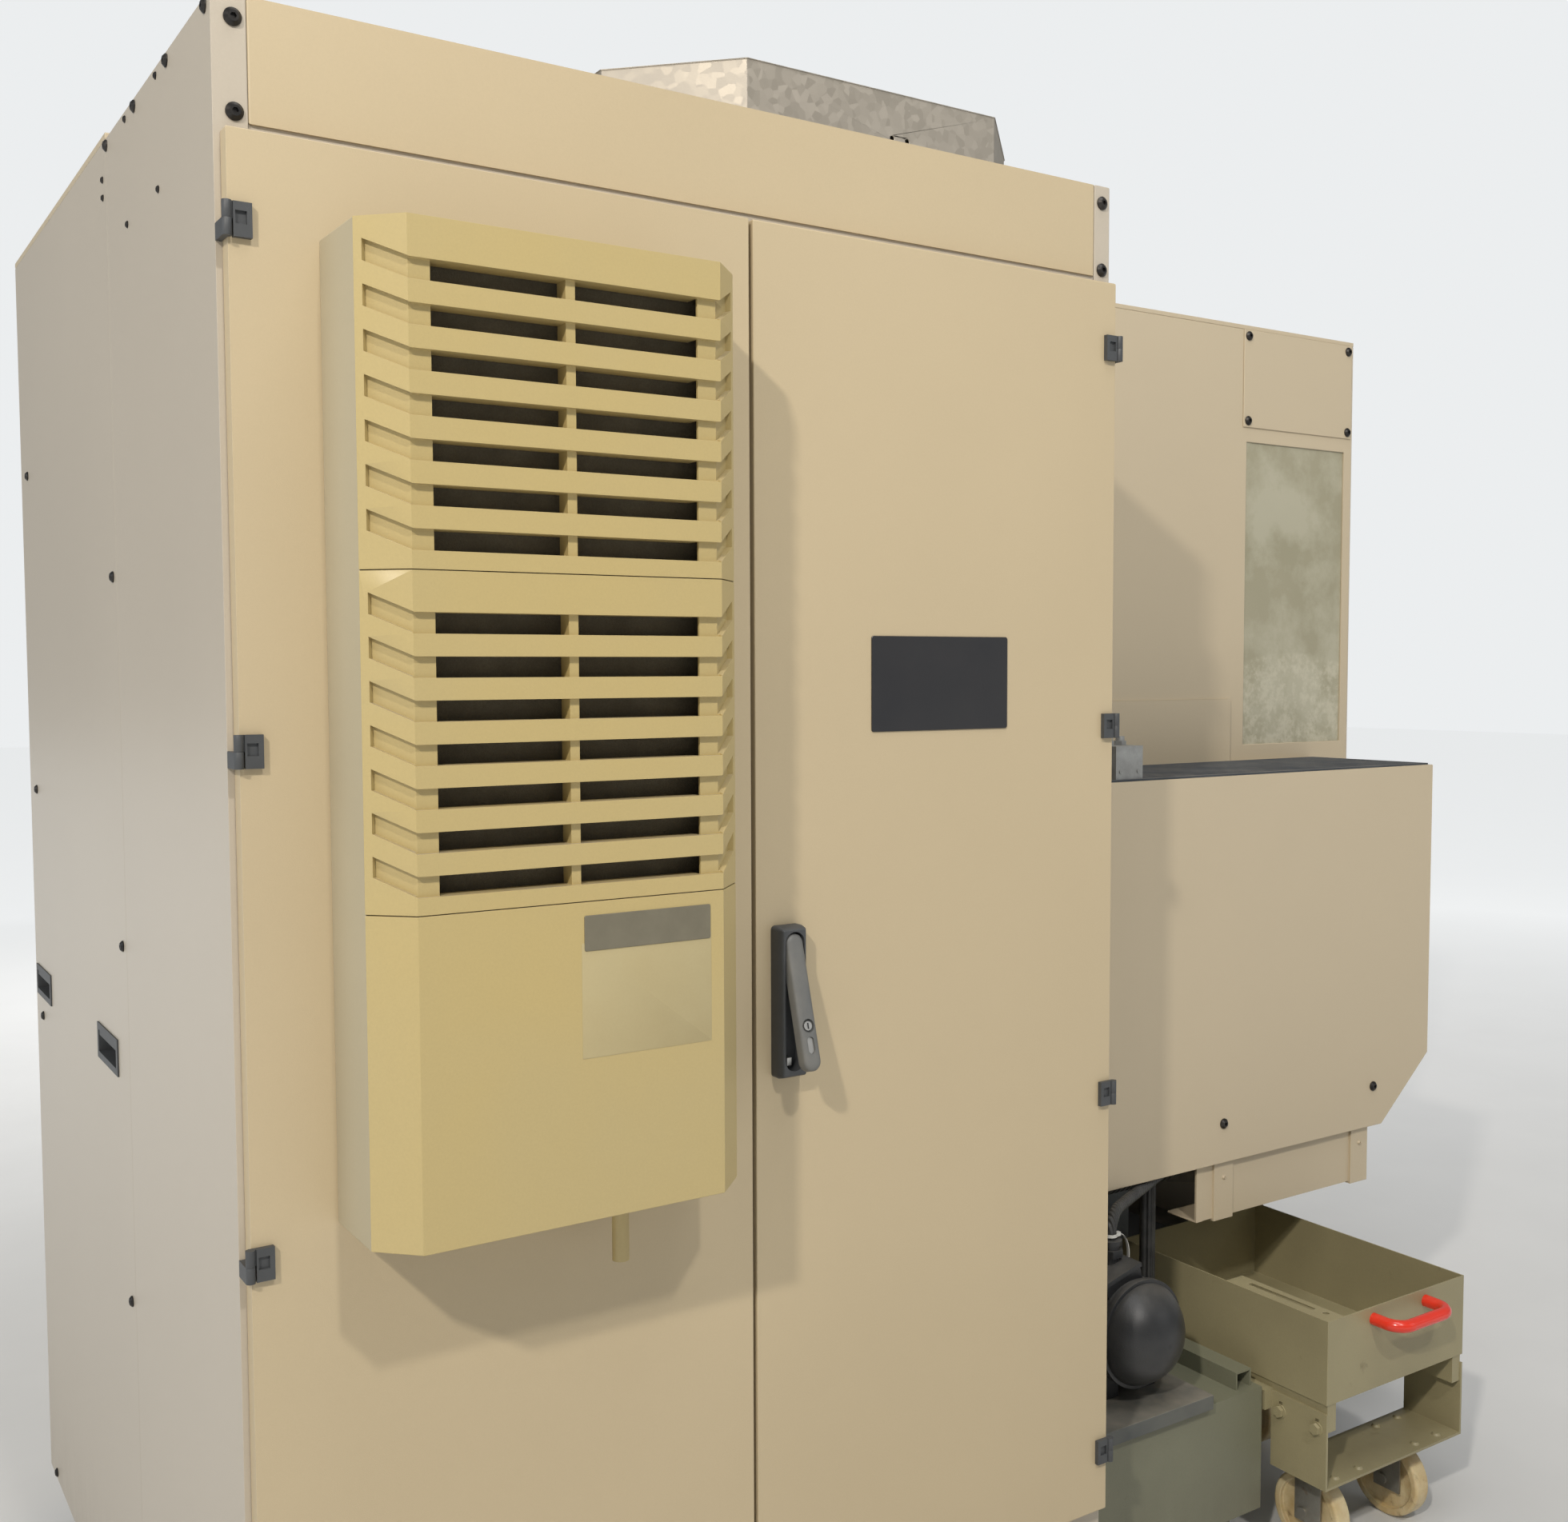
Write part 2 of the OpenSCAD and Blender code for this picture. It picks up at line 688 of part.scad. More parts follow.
module panel_screws() {
  color("black") {
    side_screws(1);
    side_screws(-1);
    for (x = [cab_x1 - 20, cab_x0 + 14], z = [fascia_bottom + 9, body_top - 22])
      translate([x, post_y, z]) rotate([-90, 0, 0]) button_screw(screw_r, screw_h);
    for (x = [-half + 19, -half - 5 + plate_width], z = [body_top - 12, body_top - plate_height + 12])
      translate([x, wall_y + plate_t, z]) rotate([-90, 0, 0]) button_screw(screw_r, screw_h);
    for (p = [[block_x0 + 156, block_z0 + 72], [block_x0 + 543, block_z0 + 66]])
      translate([p[0], block_y, p[1]]) rotate([-90, 0, 0]) button_screw(screw_r, screw_h);
  }
}

module cabinet_shell() {
  x0 = cab_x0;
  x1 = cab_x1;
  y = [wall_y, post_y];
  f = [post_y - sheet, post_y];
  color("wheat") {
    span([x1 - sheet, x1], y, [skirt_bottom, body_top]);
    span([x0, x0 + sheet], y, [skirt_bottom, body_top]);
    span([x0, x1], [wall_y, post_y - sheet], [body_top - sheet, body_top]);
    difference() {
      span([x0, x1], [wall_y, wall_y + sheet], [cabinet_floor, body_top]);
      for (z = [700, 1500])
        span([x0 + 300, x0 + 420], [wall_y - 1, wall_y + sheet + 1], [z, z + 120]);
    }
    span([x0, x1], y, [cabinet_floor, cabinet_floor + sheet]);
    span([x1 - left_post, x1], f, [skirt_bottom, body_top]);
    span([x0, x0 + right_post], f, [skirt_bottom, body_top]);
    span([x0, x1], f, [skirt_bottom, door_bottom + 14]);
    span([x0, x1], [post_y - 90, post_y], [skirt_bottom, skirt_bottom + sheet]);
    span([x0, x1], [f[0] - sheet, f[0]], [door_top - 14, body_top]);
    for (a = [[x1 - left_post, 1], [x0 + right_post, -1]])
      span([a[0], a[0] + a[1]*sheet], [post_y - 24, post_y], [cabinet_floor, body_top]);
    span([x0, x1], [post_y - 24, post_y - sheet], [door_top - 14, door_top - 11]);
  }
}

module cabinet_fascia() {
  color("wheat")
    span([cab_x0 + right_post, cab_x1 - left_post], [post_y - sheet, post_y], [fascia_bottom, body_top]);
}

module mounting_plate() {
  x = [cab_x0 + 70, cab_x1 - 70];
  y = wall_y + sheet;
  color("gainsboro") {
    span(x, [y + 8, y + 11], [cabinet_floor + 80, back_top]);
    for (a = [x[0] + 20, x[1] - 20], z = [cabinet_floor + 100, back_top - 20])
      rod_y(8, a, [y, y + 9], z);
    for (z = rail_z) difference() {
      span([x[0] + 20, x[1] - 20], [y + 10, y + 71], [z, z + 40]);
      span([x[0] + 22, x[1] - 22], [y + 13, y + 69], [z + 2, z + 38]);
      for (a = [x[0] + 40 : 24 : x[1] - 50])
        span([a, a + 8], [y + 40, y + 75], [z - 1, z + 41]);
    }
  }
}

module drive_modules() {
  y = wall_y + sheet + 11;
  color("lightgray") {
    for (i = [0 : 6]) {
      x = cab_x0 + 120 + i*132;
      span([x, x + 108], [y, y + 200], [back_top - 778, back_top - 448]);
      span([x + 14, x + 94], [y + 199, y + 212], [back_top - 538, back_top - 468]);
      span([x + 10, x + 98], [y + 199, y + 206], [back_top - 758, back_top - 728]);
    }
    for (i = [0 : 9]) {
      x = cab_x0 + 120 + i*92;
      span([x, x + 70], [y, y + 85], [back_top - 358, back_top - 268]);
      span([x + 12, x + 58], [y + 84, y + 98], [back_top - 338, back_top - 288]);
    }
    for (i = [0 : 7]) {
      x = cab_x0 + 120 + i*112;
      span([x, x + 92], [y, y + 70], [back_top - 1118, back_top - 1018]);
    }
    span([cab_x0 + 140, cab_x0 + 380], [y, y + 180], [cabinet_floor + 160, cabinet_floor + 380]);
    span([cab_x0 + 480, cab_x0 + 640], [y, y + 150], [cabinet_floor + 160, cabinet_floor + 360]);
  }
}

// One hinge at the left of the cabinet when s is 1 and at the right when s is -1
function hinge_x(s) = s > 0 ? cab_x1 - hinge_r : cab_x0 + hinge_r;
function hinge_edge(s) = s > 0 ? ld_x1 : rd_x0;

module hinge_fixed_halves() {
  color("black") for (s = [-1, 1], i = [0 : 3]) {
    x = hinge_x(s);
    z = hinge_z + i*hinge_pitch - hinge_height/2;
    y = door_y + hinge_r;
    translate([x, y, z]) cylinder(r = hinge_r, h = hinge_height/2);
    translate([x, y, z]) cylinder(r = pin_r, h = hinge_height - 2);
    span([hinge_edge(s) + s*hinge_gap, x + s*hinge_r], [post_y, y], [z, z + hinge_height/2]);
  }
}

module hinge_moving(s) {
  for (i = [0 : 3]) {
    x = hinge_x(s);
    z = hinge_z + i*hinge_pitch;
    y = door_y + hinge_r;
    difference() {
      union() {
        translate([x, y, z + seat]) cylinder(r = hinge_r, h = hinge_height/2);
        span([x - s*hinge_leaf, x], [door_y, door_y + hinge_r], [z + seat, z + seat + hinge_height/2]);
        span([x - s*hinge_leaf, x - s*(hinge_r + 1)], [door_y, door_y + hinge_r + 1.5],
          [z - hinge_height/2, z + seat + hinge_height/2]);
      }
      span([x - s*(hinge_leaf - 5), x - s*(hinge_r + 3)], [door_y + hinge_r - 1.5, door_y + hinge_r + 2],
        [z - hinge_height/8, z + hinge_height/4]);
      translate([x, y, z - 1]) cylinder(r = pin_r + pin_clear, h = hinge_height/2);
    }
  }
}

module left_hinge_halves() { color("black") hinge_moving(1); }
module right_hinge_halves() { color("black") hinge_moving(-1); }

// A folded sheet door with a return edge all round
module door_pan(x0, x1) {
  z0 = door_bottom;
  z1 = door_top;
  r = 14;
  difference() {
    span([x0, x1], [post_y, door_y], [z0, z1]);
    span([x0 + door_skin, x1 - door_skin], [post_y + door_skin, door_y - door_skin],
      [z0 + door_skin, z1 - door_skin]);
    span([x0 + r, x1 - r], [post_y - 1, door_y - door_skin], [z0 + r, z1 - r]);
  }
  for (z = [z0 + 420, z1 - 420])
    span([x0 + 1, x1 - 1], [door_y - 14, door_y - door_skin + 0.5], [z, z + 40]);
}

module air_ports(y0, y1) {
  for (z = [unit_bottom + 110, unit_bottom + unit_height - 330])
    span([unit_x0 + 70, unit_x1 - 70], [y0, y1], [z, z + 220]);
}

module left_door() {
  color("wheat") difference() {
    door_pan(ld_x0, ld_x1);
    air_ports(door_y - 30, door_y + 1);
  }
}

module right_door() { color("wheat") door_pan(rd_x0, rd_x1); }

module cooling_housing() {
  t = 2;
  color("darkkhaki") difference() {
    span([unit_x0, unit_x1], [door_y, unit_y], [unit_bottom, unit_bottom + unit_height]);
    span([unit_x0 + t, unit_x1 - t], [door_y + t, unit_y + 1], [unit_bottom + t, unit_bottom + unit_height - t]);
    air_ports(door_y - 1, door_y + t + 1);
    rod_x(3, [unit_x0 - 1, unit_x0 + t + 1], unit_y - 11, unit_bottom + 153);
  }
}

module front_shell(z0, z1) {
  difference() {
    translate([0, 0, z0]) linear_extrude(z1 - z0) polygon(front_section(0));
    translate([0, 0, z0 + sheet]) linear_extrude(z1 - z0 - 2*sheet) polygon(front_section(front_wall));
    span([unit_x0 - 1, unit_x1 + 1], [unit_y - 2, unit_y], [z0 - 1, z1 + 1]);
  }
}

// A groove on a chamfer of a grille, to the left when s is 1 and to the right when s is -1
module chamfer_groove(s, z) {
  run = front_depth*sqrt(2) - groove - groove_rim;
  step = 0.5;
  low = step - step*(groove_rise - step)/run;
  translate([(unit_x0 + unit_x1)/2 + s*(unit_width/2 - front_depth), front_face, z])
    mirror([s < 0 ? 1 : 0, 0, 0]) rotate([0, 0, -45]) translate([0, 5, 0]) rotate([90, 0, 0])
      linear_extrude(groove + 5)
        polygon([[-step, low - slot_height], [run, groove_rise - slot_height], [run, groove_rise], [-step, low]]);
}

module front_grille(z0, z1) {
  xm = (unit_x0 + unit_x1)/2;
  flat = unit_width/2 - front_depth;
  yi = front_face - front_wall;
  difference() {
    front_shell(z0, z1);
    for (i = [0 : 6]) {
      z = z1 - slot_margin - i*slot_pitch;
      span([xm - flat, xm + flat], [front_face - groove, front_face + 1], [z - slot_height, z]);
      for (s = [-1, 1]) {
        chamfer_groove(s, z);
        span([xm + s*divider/2, xm + s*slot_length/2], [yi - 1, front_face], [z - slot_height, z]);
      }
    }
  }
  for (i = [0 : 6]) {
    z = z1 - slot_margin - i*slot_pitch;
    for (h = [[z, z + 2], [z - slot_height - 2, z - slot_height]])
      span([xm - slot_length/2, xm + slot_length/2], [yi - ledge, yi + 0.5], h);
    span([xm - divider/2, xm + divider/2], [yi - ledge, yi + 0.5], [z - slot_height - 1, z + 1]);
  }
}

module upper_grille() {
  z1 = unit_bottom + unit_height;
  color("khaki") front_grille(z1 - cover_each + seam/2, z1);
}
module middle_grille() {
  z1 = unit_bottom + 2*cover_each;
  color("khaki") front_grille(z1 - cover_each + seam/2, z1 - seam/2);
}
module lower_cover() {
  color("khaki") front_shell(unit_bottom, unit_bottom + cover_each - seam/2);
}

module condenser() {
  xm = (unit_x0 + unit_x1)/2;
  y = door_y + 2;
  z1 = unit_bottom + unit_height;
  color("gray") {
    rod_y(hub_r, xm, [y, y + 46], fan_z);
    for (x = [unit_x0 + 20, unit_x1 - 26])
      span([x, x + 6], [y, y + 60], [z1 - 300, z1 - 25]);
    for (i = [0 : 22])
      span([unit_x0 + 20, unit_x1 - 20], [y + 8, y + 56], [z1 - 297 + i*12, z1 - 295.5 + i*12]);
    for (i = [0 : 5]) rod_x(5, [unit_x0 + 12, unit_x1 - 12], y + 32, z1 - 280 + i*48);
    rod_y(52, xm + 60, [y, y + 70], unit_bottom + 130);
  }
}

module condenser_fan() {
  xm = (unit_x0 + unit_x1)/2;
  y = door_y + 48 + seat;
  color("dimgray") {
    rod_y(hub_r, xm, [y, y + 30], fan_z);
    for (i = [0 : 6]) translate([xm, y + 15, fan_z]) rotate([0, i*360/7, 0]) translate([hub_r - 3, 0, 0])
      rotate([35, 0, 0]) translate([0, -1.2, -16]) cube([fan_r - hub_r, 2.4, 32]);
  }
}

module drain_tube() {
  x = (unit_x0 + unit_x1)/2 - 79;
  color("khaki") translate([x, door_y + 60, unit_bottom - tube_length]) difference() {
    cylinder(r = tube_r, h = tube_length);
    translate([0, 0, -1]) cylinder(r = tube_r - 2, h = tube_length + 2);
  }
}

module lever_housing() {
  w = lever_width/2;
  z1 = lever_z + lever_height;
  color("black") {
    difference() {
      span([lever_x - w, lever_x + w], [door_y, door_y + lever_depth], [lever_z, z1]);
      span([lever_x - grip_width/2 - 1.5, lever_x + grip_width/2 + 1.5],
        [door_y + 2, door_y + lever_depth + 1], [lever_z + 8, z1 - 5]);
      translate([0, door_y + lever_depth, lever_z]) rotate([45, 0, 0])
        span([lever_x - w - 1, lever_x + w + 1], [-4, 4], [-4, 4]);
      translate([0, door_y + lever_depth, z1]) rotate([45, 0, 0])
        span([lever_x - w - 1, lever_x + w + 1], [-4, 4], [-4, 4]);
    }
    rod_x(3, [lever_x - w + 2, lever_x + w - 2], lever_pivot_y, lever_pivot_z);
  }
}

module lever() {
  r = grip_width/2;
  color("dimgray") translate([lever_x, lever_pivot_y, lever_pivot_z]) rotate([lever_tilt, 0, 0]) difference() {
    union() {
      span([-r, r], [-6, 7], [-grip_reach + r, 0]);
      rod_y(r, 0, [-6, 7], 0);
      rod_y(r, 0, [-6, 7], -grip_reach + r);
      span([-r*0.55, r*0.55], [6, 9], [-grip_reach + r, 0]);
      rod_y(r*0.55, 0, [6, 9], 0);
      rod_y(r*0.55, 0, [6, 9], -grip_reach + r);
    }
    rod_x(3 + pin_clear, [-r - 1, r + 1], 0, 0);
    for (z = [24, 40]) rod_y(5, 0, [5.5, 10], -grip_reach + z);
    span([-5, 5], [5.5, 10], [-grip_reach + 24, -grip_reach + 40]);
  }
}

module block_section(t) {
  x0 = block_x0 + t;
  x1 = block_x1 - t;
  z0 = block_z0 + t;
  z1 = block_z1 - t;
  polygon([[x1, z0], [x1, z1], [x0, z1], [x0, z0 + block_cut_z - t*0.5],
    [x0 + block_cut_x - t*0.5, z0]]);
}

module block_housing() {
  color("tan") difference() {
    translate([0, block_y, 0]) rotate([90, 0, 0]) linear_extrude(block_depth) block_section(0);
    translate([0, block_y - sheet, 0]) rotate([90, 0, 0]) linear_extrude(block_depth) block_section(sheet);
    span([chute_x1 - chute_width, chute_x1 + 150], [wall_y + 30, chute_y - 40], [block_z0 - 1, block_z0 + sheet + 1]);
  }
}

module block_mat() {
  color("dimgray") difference() {
    span([block_x0 + 6, block_x1 - 6], [wall_y + 7, block_y - 6], [block_z1, block_z1 + mat_t]);
    for (y = [wall_y + 15 : 16 : block_y - 16])
      span([block_x0 + 12, block_x1 - 12], [y, y + 7], [block_z1 + mat_t - 1, block_z1 + mat_t + 1]);
  }
}

module junction_box() {
  z = block_z1 + mat_t;
  y1 = block_y - 14;
  x1 = box_x;
  x0 = box_x - box_width;
  color("gray") {
    difference() {
      span([x0, x1], [y1 - box_depth, y1], [z, z + box_height]);
      span([x0 + 3, x1 - 3], [y1 - box_depth + 3, y1 - 3], [z + 3, z + box_height - 3]);
    }
    for (x = [x0 + 10, x1 - 10]) rod_y(3, x, [y1 - 1, y1 + 1.5], z + 12);
    for (x = [x0 + 16, x1 - 16]) translate([x, y1 - 34, z + box_height - 1]) {
      cylinder(r = 10, h = 8, $fn = 6);
      cylinder(r = 7, h = 15);
    }
  }
}

module chute_guard() {
  x1 = chute_x1;
  x0 = chute_x1 - chute_width;
  color("tan") {
    span([x0, x1], [chute_y - sheet, chute_y], [chute_z, block_z0]);
    span([x0, x1], [chute_y - chute_lip, chute_y], [chute_z, chute_z + sheet]);
    span([x0, x0 + sheet], [chute_y - chute_lip, chute_y], [chute_z, block_z0]);
    span([x1 - 15, x1], [chute_y - 0.5, chute_y + 1.5], [chute_z, block_z0]);
    for (x = [x1 - strap_inset, x0 + strap_width + 2]) {
      span([x - strap_width, x], [chute_y - 0.5, chute_y + 4], [chute_z - 4, block_z0]);
      span([x - strap_width, x], [chute_y - 40, chute_y + 1], [chute_z - 4, chute_z + 0.5]);
      translate([x - strap_width/2, chute_y + 3.5, block_z0 - 28]) rotate([-90, 0, 0])
        button_screw(small_screw_r, screw_h*0.7);
    }
  }
}

module chip_trough() {
  x1 = trough_x;
  x0 = x1 - trough_width;
  color("silver") translate([0, wall_y - 260, trough_z]) rotate([trough_slope, 0, 0]) {
    difference() {
      span([x0, x1], [0, 420], [0, 60]);
      span([x0 + 2, x1 - 2], [2, 421], [2, 61]);
      span([x1 - 3, x1 + 1], [20, 150], [10, 61]);
    }
    span([x1 - 2, -gantry_half], [20, 150], [0, 2]);
  }
}

module coolant_tank() {
  t = 2.5;
  y0 = wall_y;
  color("olivedrab") {
    difference() {
      span([tank_x0, tank_x1], [y0, tank_y1], [tank_z0, tank_z1]);
      span([tank_x0 + t, tank_x1 - t], [y0 + t, tank_y1 - t], [tank_z0 + t, tank_z1 - t]);
      span([tank_x1 - lid_width + 40, tank_x1 - 40], [y0 + 60, tank_y1 - 60], [tank_z1 - t - 1, tank_z1 + 1]);
    }
    for (x = [tank_x0 + 40, tank_x1 - 40], y = [y0 + 40, tank_y1 - 40]) translate([x, y, 0]) {
      cylinder(r = 24, h = 8);
      cylinder(r = 10, h = tank_z0 + 1);
    }
    difference() {
      span([tank_x0 + 12, tank_x0 + 12 + strip_w], [y0 + 30, tank_y1 - 12], [tank_z1 - 0.5, tank_z1 + strip_h]);
      span([tank_x0 + 15, tank_x0 + 9 + strip_w], [y0 + 29, tank_y1 - 11], [tank_z1, tank_z1 + strip_h - 3]);
    }
  }
}

module tank_lid() {
  y0 = wall_y + 60;
  y1 = tank_y1 + 12;
  x0 = tank_x1 - lid_width;
  color("darkslategray") difference() {
    span([x0, tank_x1], [y0, y1], [tank_z1, lid_z]);
    span([x0 + sheet, tank_x1 - sheet], [y0 + sheet, y1 - sheet], [tank_z1 - 1, lid_z - sheet]);
  }
}

module pump_motor() {
  yb = motor_y1;
  y0 = yb - motor_length;
  a = motor_r - 1.5;
  rise = dome - 3;
  dome_r = (a*a + rise*rise)/(2*rise);
  color("black") {
    rod_y(motor_r, motor_x, [y0, yb], motor_z);
    translate([motor_x, yb, motor_z]) rotate([-90, 0, 0]) intersection() {
      translate([0, 0, dome - dome_r]) sphere(r = dome_r, $fn = 96);
      translate([0, 0, -1]) cylinder(r = a, h = dome + 2);
    }
    rod_y(motor_r + 4, motor_x, [yb - 10, yb], motor_z);
    rod_y(motor_r + 4, motor_x, [y0 - 8, y0 + 6], motor_z);
    for (s = [-1, 1])
      span([motor_x + s*20, motor_x + s*58], [y0 + 30, yb - 30], [lid_z, motor_z - motor_r + 32]);
    rod_y(motor_r - 14, motor_x, [y0 - 60, y0 - 7], motor_z);
    translate([motor_x, gland_y, motor_z]) rotate([0, box_tilt, 0]) {
      span([-36, 36], [-42, 42], [motor_r - 20, motor_r + 12]);
      span([-38, 38], [-44, 44], [motor_r + 11, motor_r + 18]);
    }
    translate([gland_x, gland_y, motor_z + motor_r - 8]) cylinder(r = 14, h = gland_z - motor_z - motor_r + 8);
    translate([gland_x, gland_y, gland_z - 26]) cylinder(r = 20, h = 12, $fn = 6);
    translate([gland_x, gland_y, gland_z - 8]) cylinder(r = 18, h = 8);
    translate([motor_x, y0 - 34, motor_z + 30]) cylinder(r = 24, h = riser_z - motor_z - 30);
  }
}

// A quarter bend from straight up to the right, starting at the origin
module bend_over(b, r) {
  translate([b, 0, 0]) rotate([90, 0, 0]) rotate([0, 0, 90])
    rotate_extrude(angle = 90) translate([b, 0]) circle(r = r);
}

// A quarter bend from the right to straight up, starting at the origin
module bend_up(b, r) {
  translate([0, 0, b]) rotate([90, 0, 0]) rotate([0, 0, -90])
    rotate_extrude(angle = 90) translate([b, 0]) circle(r = r);
}

module pump_pipework() {
  zh = block_z0 - hose_r - 6;
  bend = hose_r + 14;
  run = [chute_x1 - 14 - gland_x, riser_y + hose_r + cable_r + 8 - gland_y];
  cable_bend = block_z0 - cable_r - 3 - gland_z;
  color("dimgray") {
    translate([motor_x, riser_y, riser_z]) cylinder(r = hose_r - 4, h = zh - riser_z);
    translate([motor_x, riser_y, zh - hose_r - 8]) cylinder(r = hose_r + 3, h = 2*hose_r + 9);
    rod_x(hose_r, [motor_x, -500], riser_y, zh);
    for (i = [0 : 20])
      rod_x(hose_r + 1.5, [motor_x - 34 - i*12, motor_x - 40 - i*12], riser_y, zh);
    translate([tank_x0 + 12 + strip_w/2, riser_y + 42, tank_z1 + strip_h])
      cylinder(r = pipe_r, h = block_z0 - tank_z1 - strip_h + 55);
    translate([-500, riser_y, zh]) rotate([0, 0, 180]) bend_up(bend, hose_r);
    translate([-500 - bend, riser_y, zh + bend]) cylinder(r = hose_r, h = 60);
    translate([gland_x, gland_y, gland_z]) rotate([0, 0, atan2(run[1], run[0])]) {
      bend_over(cable_bend, cable_r);
      rod_x(cable_r, [cable_bend, norm(run) - cable_bend], 0, cable_bend);
      translate([norm(run) - cable_bend, 0, cable_bend]) {
        bend_up(cable_bend, cable_r);
        translate([cable_bend, 0, cable_bend]) cylinder(r = cable_r, h = 40);
      }
    }
  }
}

module cart_tray() {
  e = tray_t;
  x = cart_x1 - lip_width;
  color("olivedrab") {
    difference() {
      span([cart_x0, cart_x1], [cart_y0, cart_y1], [tray_z0, tray_z1]);
      span([cart_x0 + e, cart_x1 - e], [cart_y0 + e, cart_y1 - e], [tray_z0 + e, tray_z1 + 1]);
    }
    difference() {
      span([x, cart_x1 - 1], [cart_y1 - lip_length, cart_y1 - 1], [tray_z1 - e, tray_z1]);
      span([x + 12, x + 21], [cart_y1 - lip_length + 30, cart_y1 - 45], [tray_z1 - e - 1, tray_z1 + 1]);
      translate([x + 14, cart_y1 - 25, tray_z1 - e - 1]) cylinder(r = 5, h = e + 2);
    }
  }
}

module cart_handle() {
  xm = (cart_x0 + cart_x1)/2 - 3;
  w = handle_span/2;
  b = 26;
  z = tray_z1 - 19;
  color("red") translate([xm, cart_y1, z]) {
    for (s = [-1, 1]) {
      rod_y(handle_r, s*w, [0, handle_reach - b], 0);
      translate([s*(w - b), handle_reach - b, 0]) rotate([0, 0, s > 0 ? 0 : 90])
        rotate_extrude(angle = 90) translate([b, 0]) circle(r = handle_r);
    }
    rod_x(handle_r, [-w + b, w - b], handle_reach, 0);
  }
}

module cart_chassis() {
  color("olive") {
    for (y0 = [cart_y0, cart_y1 - bracket_length]) {
      y = [y0, y0 + bracket_length];
      for (a = [[cart_x1, -1], [cart_x0, 1]]) difference() {
        span([a[0], a[0] + a[1]*bracket_t], y, [chassis_z, bracket_top]);
        for (b = [y0 + 18, y0 + bracket_length - 18])
          span([a[0] - 5, a[0] + 10], [b - 3.5, b + 3.5], [bracket_top - 24, bracket_top - 12]);
      }
      span([cart_x0, cart_x1], y, [chassis_z, chassis_z + bracket_t]);
      for (a = [[cart_x1, 1], [cart_x0, -1]], b = [y0 + 18, y0 + bracket_length - 18])
        translate([a[0], b, bracket_top - 27]) rotate([0, a[1]*90, 0]) {
          cylinder(r = 11, h = 2);
          translate([0, 0, 1.5]) cylinder(r = 9, h = 6.5, $fn = 6);
        }
      for (x = castor_x, dx = [-28, 28], b = [y0 + 16, y0 + bracket_length - 16])
        translate([x + dx, b, chassis_z + bracket_t - 0.5]) cylinder(r1 = 8, r2 = 5, h = 4);
    }
    for (a = [[cart_x1 - bracket_t, -1], [cart_x0 + bracket_t, 1]])
      span([a[0], a[0] + a[1]*20], [cart_y0, cart_y1 - 2], [bracket_top - 30, tray_z0]);
    for (a = [[cart_x1, 1], [cart_x0, -1]])
      span([a[0] - a[1]*5, a[0] + a[1]*rail_w], [cart_y0 + bracket_length - 1, cart_y1 - bracket_length + 1],
        [bracket_top - 28, bracket_top + 3]);
    for (x = castor_x) {
      translate([x, castor_rear_y, 0]) castor_fork(0);
      span([x - 38, x + 38], [castor_rear_y - 46, castor_rear_y + 46], [chassis_z - 4, chassis_z + 0.5]);
      span([x - 38, x + 38], [castor_y - 46, castor_y + 46], [chassis_z - 4, chassis_z + 0.5]);
    }
  }
}

// Two cheeks and a crown around a wheel whose axle sits behind the origin by d
module castor_fork(d) {
  w = wheel_w/2 + 3;
  for (s = [-1, 1]) {
    span([s*w, s*(w + 3)], [-d - 16, -d + 16 + d*0.6], [wheel_r - 14, fork_top - 4]);
    rod_x(9, [s*(w + 2), s*(w + 7)], -d, wheel_r);
  }
  span([-w - 3, w + 3], [-d - 20, 24], [fork_top - 8, fork_top - (d > 0 ? 3 : -0.5)]);
  rod_x(axle_r, [-w - 1, w + 1], -d, wheel_r);
}

module swivel_fork(x) {
  translate([x, castor_y, 0]) {
    castor_fork(trail);
    translate([0, 0, fork_top - 4]) cylinder(r = 22, h = 4 - seat);
  }
}

module castor_wheel(x, y) {
  translate([x, y, wheel_r]) rotate([0, 90, 0]) translate([0, 0, -wheel_w/2]) difference() {
    union() {
      translate([0, 0, 3]) cylinder(r = wheel_r, h = wheel_w - 6);
      cylinder(r1 = wheel_r - 3, r2 = wheel_r, h = 3.01);
      translate([0, 0, wheel_w - 3.01]) cylinder(r1 = wheel_r, r2 = wheel_r - 3, h = 3.01);
    }
    for (z = [-1, wheel_w - 7]) translate([0, 0, z]) difference() {
      cylinder(r = wheel_r - 13, h = 8);
      translate([0, 0, -1]) cylinder(r = 17, h = 10);
    }
    translate([0, 0, -1]) cylinder(r = axle_r + pin_clear, h = wheel_w + 2);
  }
}

module swivel_fork_near() { color("silver") swivel_fork(castor_x[0]); }
module swivel_fork_far() { color("silver") swivel_fork(castor_x[1]); }
module wheel_front_near() { color("ivory") castor_wheel(castor_x[0], axle_y); }
module wheel_front_far() { color("ivory") castor_wheel(castor_x[1], axle_y); }
module wheel_rear_near() { color("ivory") castor_wheel(castor_x[0], castor_rear_y); }
module wheel_rear_far() { color("ivory") castor_wheel(castor_x[1], castor_rear_y); }

